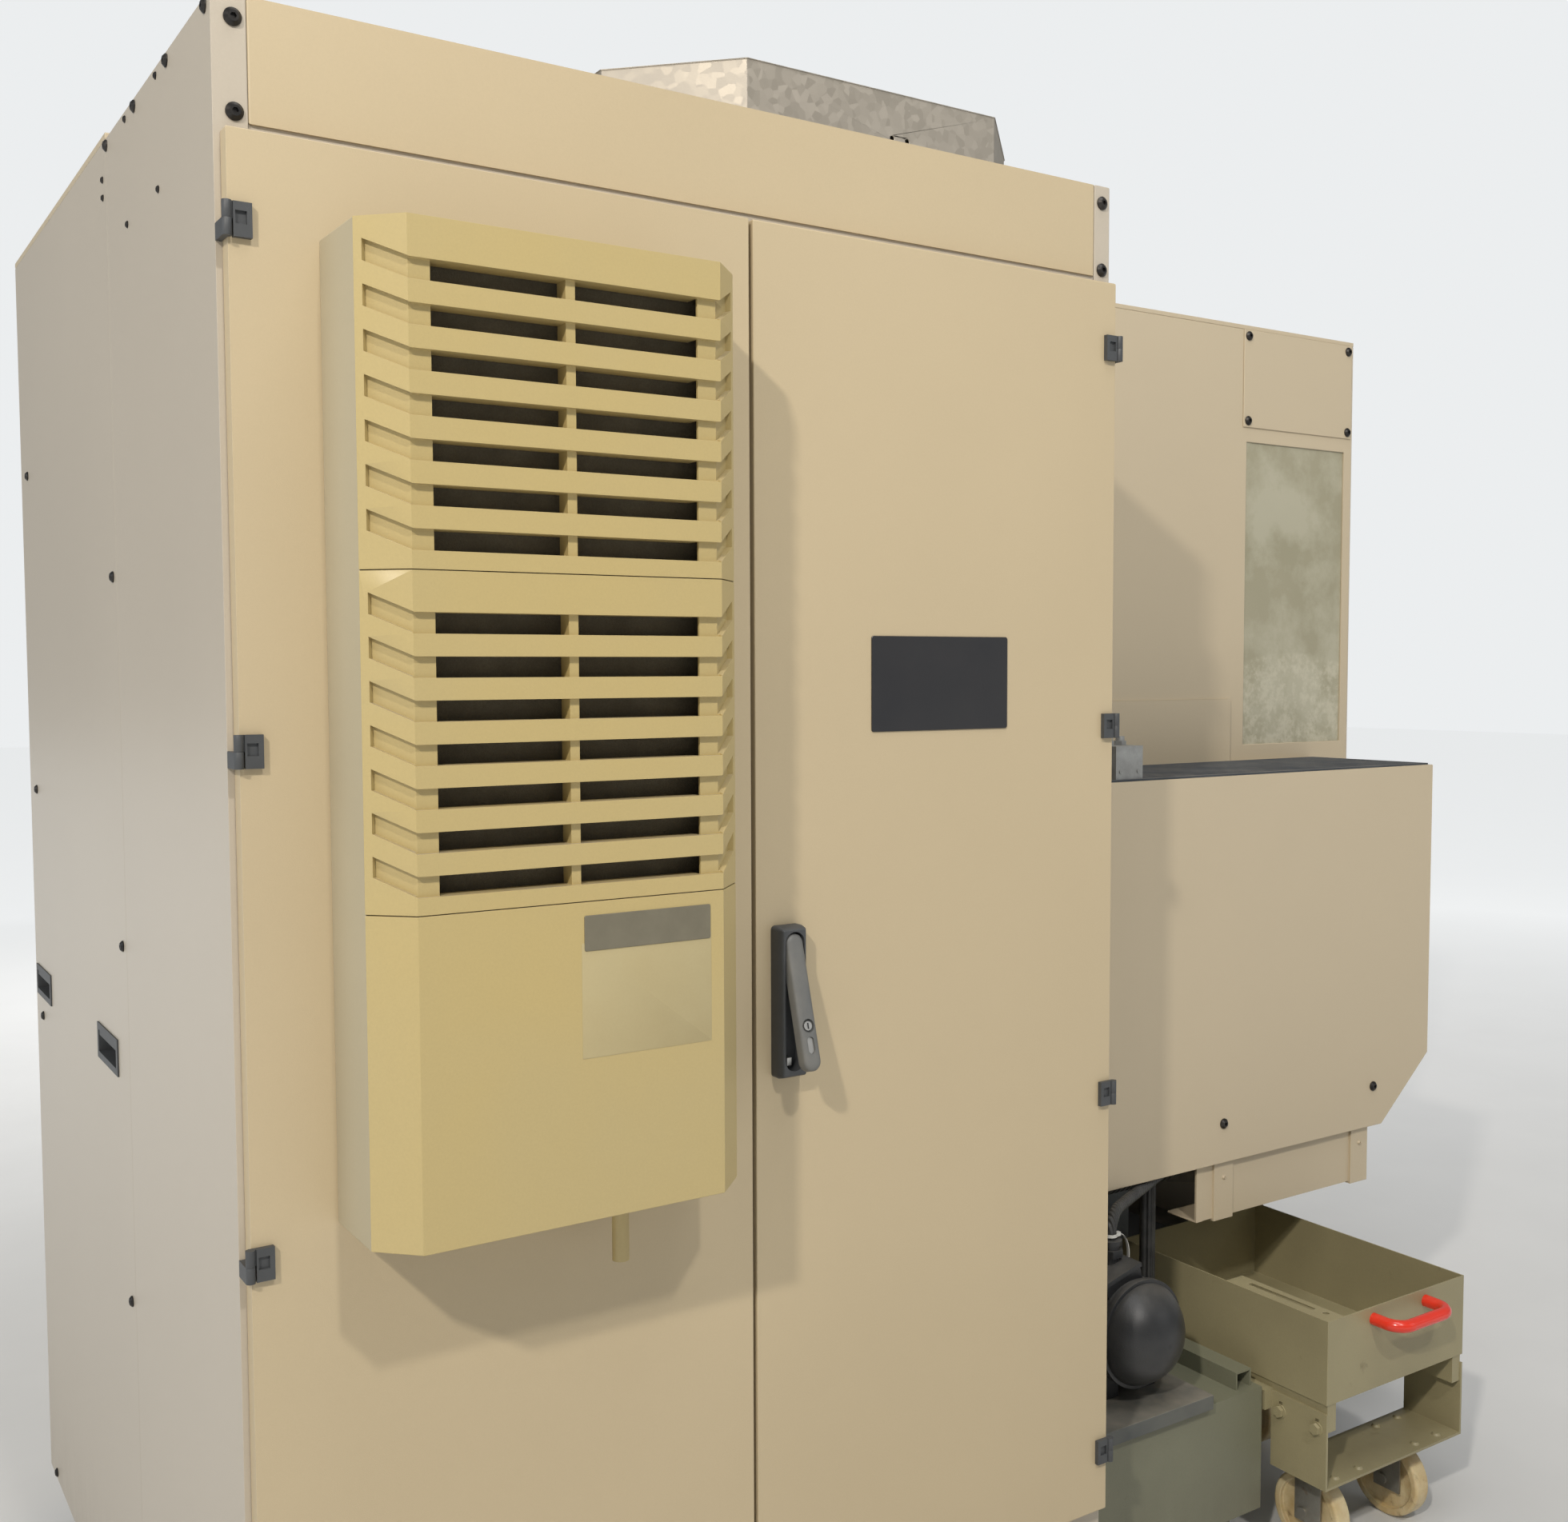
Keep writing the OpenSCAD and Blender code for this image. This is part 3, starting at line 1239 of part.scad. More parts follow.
module bridge() {
  color("lightslategray") {
    difference() {
      span([-gantry_half + 10, gantry_half - 10], [beam_y, beam_y1], [beam_z0, beam_z1]);
      for (i = [-2 : 1])
        span([i*270 + 25, i*270 + 245], [beam_y + 40, beam_y1 + 1], [beam_z0 + 50, beam_z1 - 50]);
    }
    for (s = [-1, 1], y = [beam_y + 10, beam_y1 - 60]) difference() {
      span([s*guide_x - 45, s*guide_x + 45], [y, y + 50], [gantry_top + 2, beam_z0 + 1]);
      span([s*guide_x - guide_w/2 - guide_clear, s*guide_x + guide_w/2 + guide_clear], [y - 1, y + 51],
        [gantry_top, guide_top + guide_clear]);
    }
    for (z = x_guide_z)
      span([-gantry_half + 25, gantry_half - 25], [beam_y - guide_h, beam_y + 1], [z - guide_w/2, z + guide_w/2]);
  }
}

module saddle() {
  y0 = saddle_y;
  y1 = saddle_y + saddle_t;
  color("steelblue") {
    span([-150, 150], [y0, y1], [beam_z0 + 10, beam_z1 + 10]);
    for (z = x_guide_z, x = [-115, 115]) difference() {
      span([x - 35, x + 35], [y1 - 1, beam_y - 2], [z - 40, z + 40]);
      span([x - 36, x + 36], [beam_y - guide_h - guide_clear, beam_y],
        [z - guide_w/2 - guide_clear, z + guide_w/2 + guide_clear]);
    }
    for (x = [-z_guide_x, z_guide_x], z = [ram_z + 20, beam_z1 - 70]) difference() {
      span([x - 34, x + 34], [ram_back + 2, y0 + 1], [z, z + 60]);
      span([x - 14 - guide_clear, x + 14 + guide_clear], [ram_back, ram_back + z_guide_h + guide_clear],
        [z - 1, z + 61]);
    }
  }
}

module ram() {
  s = ram_side/2;
  y = [ram_y - s, ram_back];
  color("silver") {
    difference() {
      union() {
        span([-s, s], y, [ram_z, ram_z + ram_length]);
        translate([0, ram_y, ram_z - nose_h]) cylinder(r = nose_r, h = nose_h + 1);
        translate([0, ram_y, ram_z - nose_h - 6]) cylinder(r1 = nose_r - 10, r2 = nose_r, h = 6.01);
      }
      span([-s + 24, s - 24], [y[0] + 24, y[1] - 24], [ram_z + 40, ram_z + ram_length - 20]);
      translate([0, ram_y, ram_z - nose_h - 10]) cylinder(r = spindle_r + pin_clear, h = nose_h + 60);
    }
    for (x = [-z_guide_x, z_guide_x])
      span([x - 14, x + 14], [ram_back - 1, ram_back + z_guide_h], [ram_z + 10, ram_z + ram_length - 10]);
  }
}

module spindle() {
  z = ram_z - nose_h - 6;
  color("gainsboro") translate([0, ram_y, 0]) {
    translate([0, 0, z - 10]) cylinder(r = spindle_r, h = nose_h + 16);
    translate([0, 0, z - 12]) cylinder(r = 31, h = 3);
    translate([0, 0, z - 44]) cylinder(r1 = 20, r2 = 30, h = 33);
    translate([0, 0, z - 62]) cylinder(r = 20, h = 19);
    translate([0, 0, z - 100]) cylinder(r = 6, h = 40);
  }
}

module cradle() {
  x1 = inner_half - 55;
  color("slategray") {
    for (s = [-1, 1]) {
      rod_x(110, [s*(x1 - 35), s*x1], table_y, tilt_z);
      span([s*(x1 - 35), s*x1], [table_y - 110, table_y + 110], [tilt_z - 170, tilt_z]);
      rod_x(shaft_r, [s*(x1 - 1), s*(x1 + 20)], table_y, tilt_z);
    }
    span([-x1, x1], [table_y - 110, table_y + 110], [tilt_z - 170, tilt_z - 110]);
  }
}

module rotary_table() {
  z0 = tilt_z - 110 + seat;
  z1 = z0 + table_h;
  color("silver") translate([0, table_y, 0]) difference() {
    union() {
      translate([0, 0, z0]) cylinder(r = table_r - 30, h = table_h);
      translate([0, 0, z0 + 30]) cylinder(r = table_r, h = table_h - 30);
    }
    for (i = [0 : 7]) rotate([0, 0, i*45 + 22.5]) {
      span([35, table_r + 1], [-slot_w/2, slot_w/2], [z1 - 24, z1 + 1]);
      span([35, table_r + 1], [-slot_w, slot_w], [z1 - 24, z1 - 14]);
    }
    translate([0, 0, z1 - table_bore_depth]) cylinder(r = table_bore_r, h = table_bore_depth + 1);
  }
}

module magazine_disc() {
  y1 = 62 - seat;
  color("silver") {
    rod_y(50, magazine_x, [10, y1], magazine_z);
    rod_y(magazine_r, magazine_x, [-10, 14], magazine_z);
    for (i = [0 : pockets - 1]) {
      a = i*360/pockets;
      x = magazine_x + (magazine_r - 34)*cos(a);
      z = magazine_z + (magazine_r - 34)*sin(a);
      rod_y(26, x, [-24, -9], z);
      translate([x, -23, z]) rotate([90, 0, 0]) cylinder(r1 = 20, r2 = 13, h = 46);
      rod_y(5, x, [-98, -68], z);
    }
  }
}

module front_panels() {
  o = roof_plan(0);
  n = roof_plan(sheet);
  k = sheet*(sqrt(2) - 1) + sheet;
  color("tan") {
    difference() {
      translate([0, 0, skirt_bottom]) linear_extrude(body_top - skirt_bottom) polygon([
        o[5], o[4], o[3], o[2], [-half + sheet*sqrt(2), side_front_y], n[3], n[4], [half - sheet*sqrt(2), side_front_y]]);
      span([-opening_width/2, opening_width/2], [front_y - 1, front_y + 10], [opening_z0, opening_z1]);
    }
    for (z = [[track_z0 - 14, track_z0], [track_z1, track_z1 + 12]])
      span([-half + corner_cut + 6, slider_width/2 + 12], [slider_y0 - 4, front_y + 1], z);
    span([console_x - 35, console_x + 35], [pivot_y - 30, front_y + 1], [track_z1 + 22, track_z1 + 52]);
  }
}

module operator_door() {
  w = slider_width/2;
  z = [track_z0 + seat, track_z1 - 0.5];
  zc = (track_z0 + track_z1)/2 + 30;
  color("wheat") {
    difference() {
      span([-w, w], [slider_y0, slider_y1], z);
      span([-w + sheet, w - sheet], [slider_y0 + sheet, slider_y1 + 1], [z[0] + sheet, z[1] - sheet]);
      span([-pane_width/2, pane_width/2], [slider_y0 - 1, slider_y1], [zc - pane_height/2, zc + pane_height/2]);
    }
    for (h = [zc - 150, zc + 150]) rod_y(8, w - 45, [slider_y0 - 45, slider_y0 + 1], h);
    translate([w - 45, slider_y0 - 45, zc - 180]) cylinder(r = 13, h = 360);
  }
}

module door_window() {
  zc = (track_z0 + track_z1)/2 + 30;
  color("lightgray", 0.5)
    span([-pane_width/2 - 12, pane_width/2 + 12], [slider_y0 + sheet, slider_y0 + sheet + 6],
      [zc - pane_height/2 - 12, zc + pane_height/2 + 12]);
}

module console() {
  x0 = console_x - console_width/2;
  x1 = console_x + console_width/2;
  yc = pivot_y - arm_length;
  y0 = yc - console_depth/2;
  y1 = yc + console_depth/2;
  z0 = console_top - console_height;
  zb = track_z1 + 22;
  color("gainsboro") {
    difference() {
      span([x0, x1], [y0, y1], [z0, console_top]);
      span([x0 + 4, x1 - 4], [y0 + 5, y1 - 4], [z0 + 4, console_top - 4]);
      span([x0 + 35, x1 - 35], [y0 - 1, y0 + 3], [z0 + 190, console_top - 30]);
      rod_y(10 + pin_clear, x1 - 60, [y0 - 1, y0 + 6], z0 + 70);
    }
    for (i = [0 : 6], j = [0 : 2])
      span([x0 + 40 + i*32, x0 + 62 + i*32], [y0 - 3, y0 + 1], [z0 + 40 + j*40, z0 + 62 + j*40]);
    translate([console_x, yc, console_top - 1]) cylinder(r = arm_r, h = zb - console_top - 4);
    span([console_x - 18, console_x + 18], [yc, pivot_y], [zb - 37, zb - 7]);
    translate([console_x, pivot_y, zb - 45]) cylinder(r = arm_r, h = 45 - seat);
  }
}

module stop_button() {
  x = console_x + console_width/2 - 60;
  y0 = pivot_y - arm_length - console_depth/2;
  z = console_top - console_height + 70;
  color("red") {
    rod_y(10, x, [y0 - 12, y0 + 3], z);
    rod_y(20, x, [y0 - 20, y0 - 8], z);
    translate([x, y0 - 19.5, z]) rotate([90, 0, 0]) cylinder(r1 = 20, r2 = 12, h = 6);
  }
}

levelling_feet();
base_frame();
machine_bed();
side_panels();
flush_handles();
rear_wall();
access_plate();
rear_window();
low_cover();
roof_panel();
roof_cover();
panel_screws();
cabinet_shell();
cabinet_fascia();
mounting_plate();
drive_modules();
hinge_fixed_halves();
block_housing();
block_mat();
junction_box();
chute_guard();
chip_trough();
coolant_tank();
tank_lid();
pump_motor();
pump_pipework();
front_panels();
left_door();
left_hinge_halves();
cooling_housing();
upper_grille();
middle_grille();
lower_cover();
condenser();
condenser_fan();
drain_tube();
right_door();
right_hinge_halves();
lever_housing();
lever();
cart_tray();
cart_handle();
cart_chassis();
swivel_fork_near();
swivel_fork_far();
wheel_front_near();
wheel_front_far();
wheel_rear_near();
wheel_rear_far();
bridge();
saddle();
ram();
spindle();
cradle();
rotary_table();
magazine_disc();
operator_door();
door_window();
console();
stop_button();
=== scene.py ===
import math

import bmesh
import bpy
from bpy.props import FloatProperty, FloatVectorProperty, PointerProperty
from mathutils import Matrix, Vector


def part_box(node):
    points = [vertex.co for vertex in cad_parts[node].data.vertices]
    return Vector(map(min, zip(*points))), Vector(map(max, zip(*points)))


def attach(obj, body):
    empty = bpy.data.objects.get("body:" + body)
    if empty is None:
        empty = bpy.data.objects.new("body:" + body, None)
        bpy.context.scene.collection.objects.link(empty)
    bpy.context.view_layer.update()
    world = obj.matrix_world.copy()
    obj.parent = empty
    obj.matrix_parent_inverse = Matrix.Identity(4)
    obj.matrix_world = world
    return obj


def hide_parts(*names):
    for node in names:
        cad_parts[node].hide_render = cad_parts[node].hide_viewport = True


bl_info = {
    "name": "Machining Center Dressing",
    "version": (1, 0, 0),
    "blender": (4, 5, 0),
    "location": "View3D > Sidebar > Machining Center",
    "description": "Finishes and fine pieces for an enclosed machining center",
    "category": "Object",
}

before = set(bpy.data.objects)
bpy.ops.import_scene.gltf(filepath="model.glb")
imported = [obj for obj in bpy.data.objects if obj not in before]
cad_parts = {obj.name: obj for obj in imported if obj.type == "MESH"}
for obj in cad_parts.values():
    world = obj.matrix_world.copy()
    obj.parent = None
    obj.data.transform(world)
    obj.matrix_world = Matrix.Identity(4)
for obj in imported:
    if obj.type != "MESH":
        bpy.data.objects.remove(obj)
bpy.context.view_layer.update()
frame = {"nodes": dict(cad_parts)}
NODES = frame["nodes"]

# Camera: place in metres, angles in radians, focal length in pixels of the photograph
PHOTO_WIDTH = 1960
FOCAL_PIXELS = 1999.33
SENSOR_WIDTH = 36
CAMERA_PLACE = (1.5339, 2.4324, 1.400)
CAMERA_YAW = 0.57908
CAMERA_PITCH = 0.05742
CAMERA_ROLL = -0.00325
NEAREST_SEEN = 0.05

# Studio: distances in metres, glows as shares of white
PALE = (0.93, 0.95, 0.96)
FLOOR_REACH = 30
FLOOR_LIGHT_TONE = (0.66, 0.66, 0.65)
FLOOR_DARK_TONE = (0.60, 0.60, 0.59)
FLOOR_FADE = (1.5, 7.5)
FAR_GLOW = 0.66
BACKGROUND_GLOW = 0.60
ROOM_LIGHT = 0.30
CABINET_REAR = (0.8, 1.0, 1.3)

# Bare plates and the label, set a little into what carries them. Their profiles list the height and
# the inset, from the back to the front
LABEL_SET_IN = 0.0003
PLATE_SET_IN = 0.0004
DOOR_PLATE_PROFILE = ((0, 0), (0.0016, 0), (0.0022, 0.0006))
TYPE_CORNER = 0.002
TYPE_PROFILE = ((0, 0), (0.0010, 0), (0.0013, 0.0003))
LABEL_CORNER = 0.0015
LABEL_PROFILE = ((0, 0), (0.0005, 0), (0.0006, 0.0002))

# Lever on the right cabinet door. The housing's profile is in shares of its depth and of its slope
HOUSING_PROFILE = ((0, 0), (0.5, 0), (0.86, 0.45), (0.97, 0.8), (1, 1))
GRIP_PROFILE = ((-0.006, 0.0008), (-0.0052, 0), (0.0045, 0), (0.0064, 0.0008), (0.0079, 0.0026),
                (0.0088, 0.0052), (0.0091, 0.0085))
BARREL_PROFILE = ((0, 0.001), (0.001, 0), (0.0062, 0))
POCKET_FOOT = 0.009
POCKET_HEAD = 0.006
POCKET_FLOOR = 0.002
POCKET_ROUND = 0.0006
POCKET_ROUND_HEIGHT = 0.0008
END_CLEARANCE = 0.0005
GRIP_END_CLEARANCE = 0.0001
PIN_RADIUS = 0.003
LATCH_HALF_WIDTH = 0.003
LATCH_DEPTHS = (0.001, 0.009)
LATCH_HEIGHTS = (0.013, 0.022)
RECESS_FLOOR = 0.0052
RECESS_CLEAR = 0.02
CORE_RADIUS = 0.0052
CORE_HEIGHTS = (0.0050, 0.0078)
SLOT_SIZE = (0.009, 0.019)
SLOT_CORNER = 0.0043
SLOT_FLOOR = 0.0062
INLAY_SIZE = (0.0084, 0.0184)
INLAY_CORNER = 0.0041
INLAY_FLOOR = 0.0060
INLAY_THICKNESS = 0.0010
# The slit for the key is not cut: a thin black block on the lock's core is painted shade of it
KEY_SLIT_SHADE_HALF = (0.0008, 0.0034)
KEY_SLIT_SHADE_HEIGHT = 0.0004
BARREL_SIZE = (0.016, 0.036)
BARREL_CORNER = 0.004
BARREL_DROP = 0.018
BARREL_DEPTH = 0.012

# Cable tie on the pump's gland, with its place from the motor's highest corner and its sweep in degrees
GLAND_FROM_MOTOR = Vector((-0.072, -0.115, 0.0065))
CABLE_RADIUS = 0.0093
TIE_STEPS = 32
TIE_HEAD = Vector((0.006, 0.003, 0.003))
TIE_HEAD_INNER = Vector((0.001, 0.003, 0.003))
TAIL_START = 0.005
TAIL_STEPS = 12
TAIL_SWEEP = 100
TAIL_RADIUS = 0.016
TAIL_DROOP = 2.1
TAIL_DRIFT = 0.004

# Console
KEY_ROWS = 3
KEY_COLUMNS = 7
KEY_PROFILE = ((0, 0), (0.0012, 0), (0.0020, 0.0008))
KEY_GAP = 0.0002
SCREEN_DEPTHS = (0.0012, 0.0027)


def shade(*levels):
    """A colour given as seen on screen, from 0 to 255, turned into the shader's linear values."""
    parts = (level / 255 for level in levels)
    return tuple(round(p / 12.92 if p < 0.0405 else ((p + 0.055) / 1.055) ** 2.4, 4) for p in parts)


def colour(label, text, rgb):
    """A colour setting, given as seen on screen."""
    return FloatVectorProperty(
        name=label, description=text, subtype="COLOR", size=3, min=0, max=1, default=shade(*rgb))


def length(label, text, value):
    """A length setting, in metres."""
    return FloatProperty(
        name=label, description=text, subtype="DISTANCE", unit="LENGTH", default=value, min=0.0)


def angle(label, text, degrees):
    """An angle setting, given in degrees and kept in radians."""
    return FloatProperty(name=label, description=text, subtype="ANGLE", default=math.radians(degrees))


class PaintColours(bpy.types.PropertyGroup):
    """Colours of the painted and moulded surfaces."""

    door: colour("Door cream", "Powder coat on the cabinet doors and fascia", (190, 173, 141))
    panel: colour("Panel beige", "Powder coat on the body panels", (191, 176, 149))
    side: colour("Side panel beige", "Powder coat on the side walls", (184, 174, 158))
    unit: colour("Cooler sheet", "Paint on the sheet housing of the cooling unit", (180, 170, 144))
    cover: colour("Cooler covers", "Aged plastic of the cooling unit's front covers", (180, 162, 114))
    cart: colour("Cart green", "Gray green paint on the chip cart", (152, 143, 110))
    tank: colour("Tank green", "Gray green paint on the coolant tank", (118, 118, 98))
    handle: colour("Handle red", "Moulded red of the cart handle", (226, 52, 30))
    hinge: colour("Hinge anthracite", "Moulded dark plastic of hinges and lever", (62, 64, 66))
    machine: colour("Casting gray", "Paint on the castings inside", (128, 134, 136))


class EdgeRoundings(bpy.types.PropertyGroup):
    """Rounded edges of the carried over solids."""

    panel: length("Panel edge", "Rounding of the folded body panels", 0.0012)
    door: length("Door edge", "Rounding of the doors and the fascia", 0.00216)
    side: length("Side edge", "Rounding of the side walls and the cabinet shell", 0.00168)
    cooler: length("Cooler sheet edge", "Rounding of the cooling unit's sheet housing", 0.00135)
    cover: length("Cooler cover edge", "Rounding of the cooling unit's moulded covers", 0.0009)
    hinge: length("Hinge edge", "Rounding of the hinge halves", 0.0005)
    tank: length("Tank edge", "Rounding of the tank and its lid", 0.001)
    motor: length("Motor edge", "Rounding of the pump motor and the junction box", 0.0012)
    tray: length("Tray edge", "Rounding of the cart's tray", 0.0008)
    chassis: length("Chassis edge", "Rounding of the cart's chassis and forks", 0.0006)
    wheel: length("Wheel edge", "Rounding of the castor wheels", 0.002)
    casting: length("Casting edge", "Rounding of the castings inside", 0.002)
    frame: length("Frame edge", "Rounding of the base frame", 0.0015)
    steel: length("Steel edge", "Rounding of the ground steel inside", 0.0008)
    module: length("Module edge", "Rounding of the switchgear", 0.001)
    console: length("Console edge", "Rounding of the console and its stop button", 0.001)


class LeverSizes(bpy.types.PropertyGroup):
    """Lever and lock on the right cabinet door."""

    corner: length("Housing corner", "Corner radius of the lever housing", 0.005)
    slope: length("Housing slope", "How far the housing's flanks lean in", 0.0045)
    pocket: length("Pocket width", "Width of the pocket that the lever folds into", 0.026)
    tilt: angle("Lever tilt", "Angle of the released lever to the door", 15.5)
    pivot_drop: length("Pivot drop", "Distance of the pivot below the housing's top", 0.020)
    pivot_depth: length("Pivot depth", "Distance of the pivot behind the housing's front", 0.007)
    reach: length("Lever reach", "Length of the lever below its pivot", 0.146)
    width: length("Lever width", "Width of the lever", 0.023)
    lock_at: length("Lock place", "Distance of the lock below the pivot", 0.095)
    lock_radius: length("Lock radius", "Radius of the lock's recess", 0.0078)
    slot_at: length("Slot place", "Distance of the slot below the pivot", 0.117)


class PlateSizes(bpy.types.PropertyGroup):
    """Bare plates and the blank label."""

    width: length("Door plate width", "Width of the bare plate on the right door", 0.211)
    height: length("Door plate height", "Height of the bare plate on the right door", 0.114)
    corner: length("Door plate corner", "Corner radius of the bare plate", 0.003)
    place_in: length("Door plate inset", "Distance of its middle from the door's hinge edge", 0.2897)
    rise: length("Door plate rise", "Distance of its middle above the door's lower edge", 1.124)
    type_width: length("Type plate width", "Width of the bare type plate on the cooling unit", 0.142)
    type_height: length("Type plate height", "Height of the bare type plate", 0.035)
    type_in: length("Type plate inset", "Distance of its middle from the cover's edge near the lever", 0.1242)
    type_rise: length("Type plate rise", "Distance of its middle above the cover's lower edge", 0.2855)
    label_width: length("Label width", "Width of the blank label on the cooling unit", 0.146)
    label_height: length("Label height", "Height of the blank label", 0.114)
    label_in: length("Label inset", "Distance of its middle from the cover's edge near the lever", 0.1252)
    label_rise: length("Label rise", "Distance of its middle above the cover's lower edge", 0.219)


class FittingSizes(bpy.types.PropertyGroup):
    """Filter mats, cable tie and hose ribs."""

    mat_gap: length("Mat setback", "Distance of the filter mats behind the cover front", 0.034)
    mat_thickness: length("Mat thickness", "Thickness of the filter mats", 0.003)
    mat_side: length("Mat side margin", "Distance of the mats from the cover's flanks", 0.030)
    mat_end: length("Mat end margin", "Distance of the mats from the cover's ends", 0.012)
    tie_width: length("Tie width", "Width of the cable tie on the pump gland", 0.0045)
    tie_thickness: length("Tie thickness", "Thickness of the cable tie", 0.0014)
    rib_pitch: length("Hose rib pitch", "Distance between the ribs of the hoses", 0.0055)


class ConsoleSizes(bpy.types.PropertyGroup):
    """Screen and key caps of the console."""

    height: length("Console height", "Height of the console's housing", 0.470)
    key_stand: length("Key stand", "How far the keys of the console stand out from its face", 0.003)
    screen_side: length("Screen side margin", "Distance of the screen from the flanks", 0.0355)
    screen_foot: length("Screen foot", "Distance of the screen above the lower edge", 0.1905)
    screen_head: length("Screen head", "Distance of the screen below the upper edge", 0.0305)
    key_size: length("Key cap size", "Edge of a key cap", 0.019)
    key_corner: length("Key cap corner", "Corner radius of a key cap", 0.003)
    first_key: length("First key", "Distance of the first key from the lower corner", 0.051)
    key_across: length("Key pitch across", "Distance between the keys of a row", 0.032)
    key_up: length("Key pitch up", "Distance between the rows of keys", 0.040)


# Node groups shared by the materials

WHITE = (1, 1, 1, 1)
SPECK_TONE = (0.05, 0.045, 0.03)


class Wires:
    """Short calls for placing and joining nodes in one tree."""

    def __init__(self, tree):
        self.tree = tree

    def add(self, kind):
        return self.tree.nodes.new(kind)

    def set(self, socket, value):
        """Links a socket to another one, or gives it a plain value."""
        if isinstance(value, bpy.types.NodeSocket):
            self.tree.links.new(value, socket)
        elif socket.type == "RGBA":
            socket.default_value = (*value[:3], 1)
        else:
            socket.default_value = value

    def math(self, operation, first, second, clamp=False):
        node = self.add("ShaderNodeMath")
        node.operation = operation
        node.use_clamp = clamp
        self.set(node.inputs[0], first)
        self.set(node.inputs[1], second)
        return node.outputs[0]

    def mix(self, factor, first, second):
        """A colour between two others. The mixing node keeps its colours in sockets 6, 7 and 2."""
        node = self.add("ShaderNodeMix")
        node.data_type = "RGBA"
        self.set(node.inputs[0], factor)
        self.set(node.inputs[6], first)
        self.set(node.inputs[7], second)
        return node.outputs[2]

    def here(self):
        """The place on the object, in metres."""
        return self.add("ShaderNodeTexCoord").outputs["Object"]

    def split(self, vector):
        """The X, Y and Z parts of a vector."""
        node = self.add("ShaderNodeSeparateXYZ")
        self.set(node.inputs[0], vector)
        return node.outputs

    def noise(self, scale, detail, rough, vector=None):
        node = self.add("ShaderNodeTexNoise")
        self.set(node.inputs["Vector"], vector or self.here())
        self.set(node.inputs["Scale"], scale)
        self.set(node.inputs["Detail"], detail)
        self.set(node.inputs["Roughness"], rough)
        return node.outputs["Fac"]

    def ramp(self, value, low, high):
        """The value spread from 0 at low to 1 at high."""
        node = self.add("ShaderNodeMapRange")
        node.clamp = True
        self.set(node.inputs["Value"], value)
        self.set(node.inputs["From Min"], low)
        self.set(node.inputs["From Max"], high)
        return node.outputs[0]


def group(name, results, **inputs):
    """A node group with named inputs and results. Gives its wires and both rows of sockets."""
    tree = bpy.data.node_groups.new(name, "ShaderNodeTree")
    for label, value in inputs.items():
        kind = "Float" if isinstance(value, float) else "Color" if len(value) == 4 else "Vector"
        socket = tree.interface.new_socket(
            name=label.replace("_", " "), in_out="INPUT", socket_type="NodeSocket" + kind)
        socket.default_value = value
    for label in results:
        kind = "Color" if label == "Color" else "Float"
        tree.interface.new_socket(name=label, in_out="OUTPUT", socket_type="NodeSocket" + kind)
    wires = Wires(tree)
    return wires, wires.add("NodeGroupInput").outputs, wires.add("NodeGroupOutput").inputs


def powder_grain():
    """Fine orange peel of a powder coat, as a height."""
    wires, given, result = group("Powder coat grain", ("Height",), Scale=900.0, Waviness=0.3)
    fine = wires.noise(given["Scale"], detail=2.0, rough=0.55)
    wide = wires.noise(9.0, detail=2.0, rough=0.5)
    waves = wires.math("MULTIPLY", wide, given["Waviness"])
    wires.set(result["Height"], wires.math("ADD", fine, waves))
    return wires.tree


def aged_tone():
    """Slow drift of a colour between itself and its aged tone, with fine speckle."""
    wires, given, result = group("Aged tone", ("Color", "Mask"), Fresh=WHITE, Aged=WHITE,
                                 Patch_Scale=2.5, Amount=0.5, Speckle=0.04)
    patch = wires.ramp(wires.noise(given["Patch Scale"], detail=3.0, rough=0.55), 0.32, 0.7)
    mask = wires.math("MULTIPLY", patch, given["Amount"], clamp=True)
    tone = wires.mix(mask, given["Fresh"], given["Aged"])
    specks = wires.ramp(wires.noise(420.0, detail=2.0, rough=0.7), 0.35, 0.75)
    speckle = wires.math("MULTIPLY", specks, given["Speckle"])
    wires.set(result["Color"], wires.mix(speckle, tone, SPECK_TONE))
    wires.set(result["Mask"], mask)
    return wires.tree


def settled_dust():
    """Dust on faces that look up, thicker in patches."""
    wires, given, result = group("Settled dust", ("Color", "Mask"), Color=WHITE,
                                 Dust=(0.32, 0.28, 0.22, 1), Amount=0.4)
    normal = wires.add("ShaderNodeNewGeometry").outputs["Normal"]
    upward = wires.ramp(wires.split(normal)["Z"], 0.45, 0.98)
    cloud = wires.ramp(wires.noise(14.0, detail=4.0, rough=0.6), 0.25, 0.8)
    settled = wires.math("MULTIPLY", upward, cloud)
    mask = wires.math("MULTIPLY", settled, given["Amount"], clamp=True)
    wires.set(result["Color"], wires.mix(mask, given["Color"], given["Dust"]))
    wires.set(result["Mask"], mask)
    return wires.tree


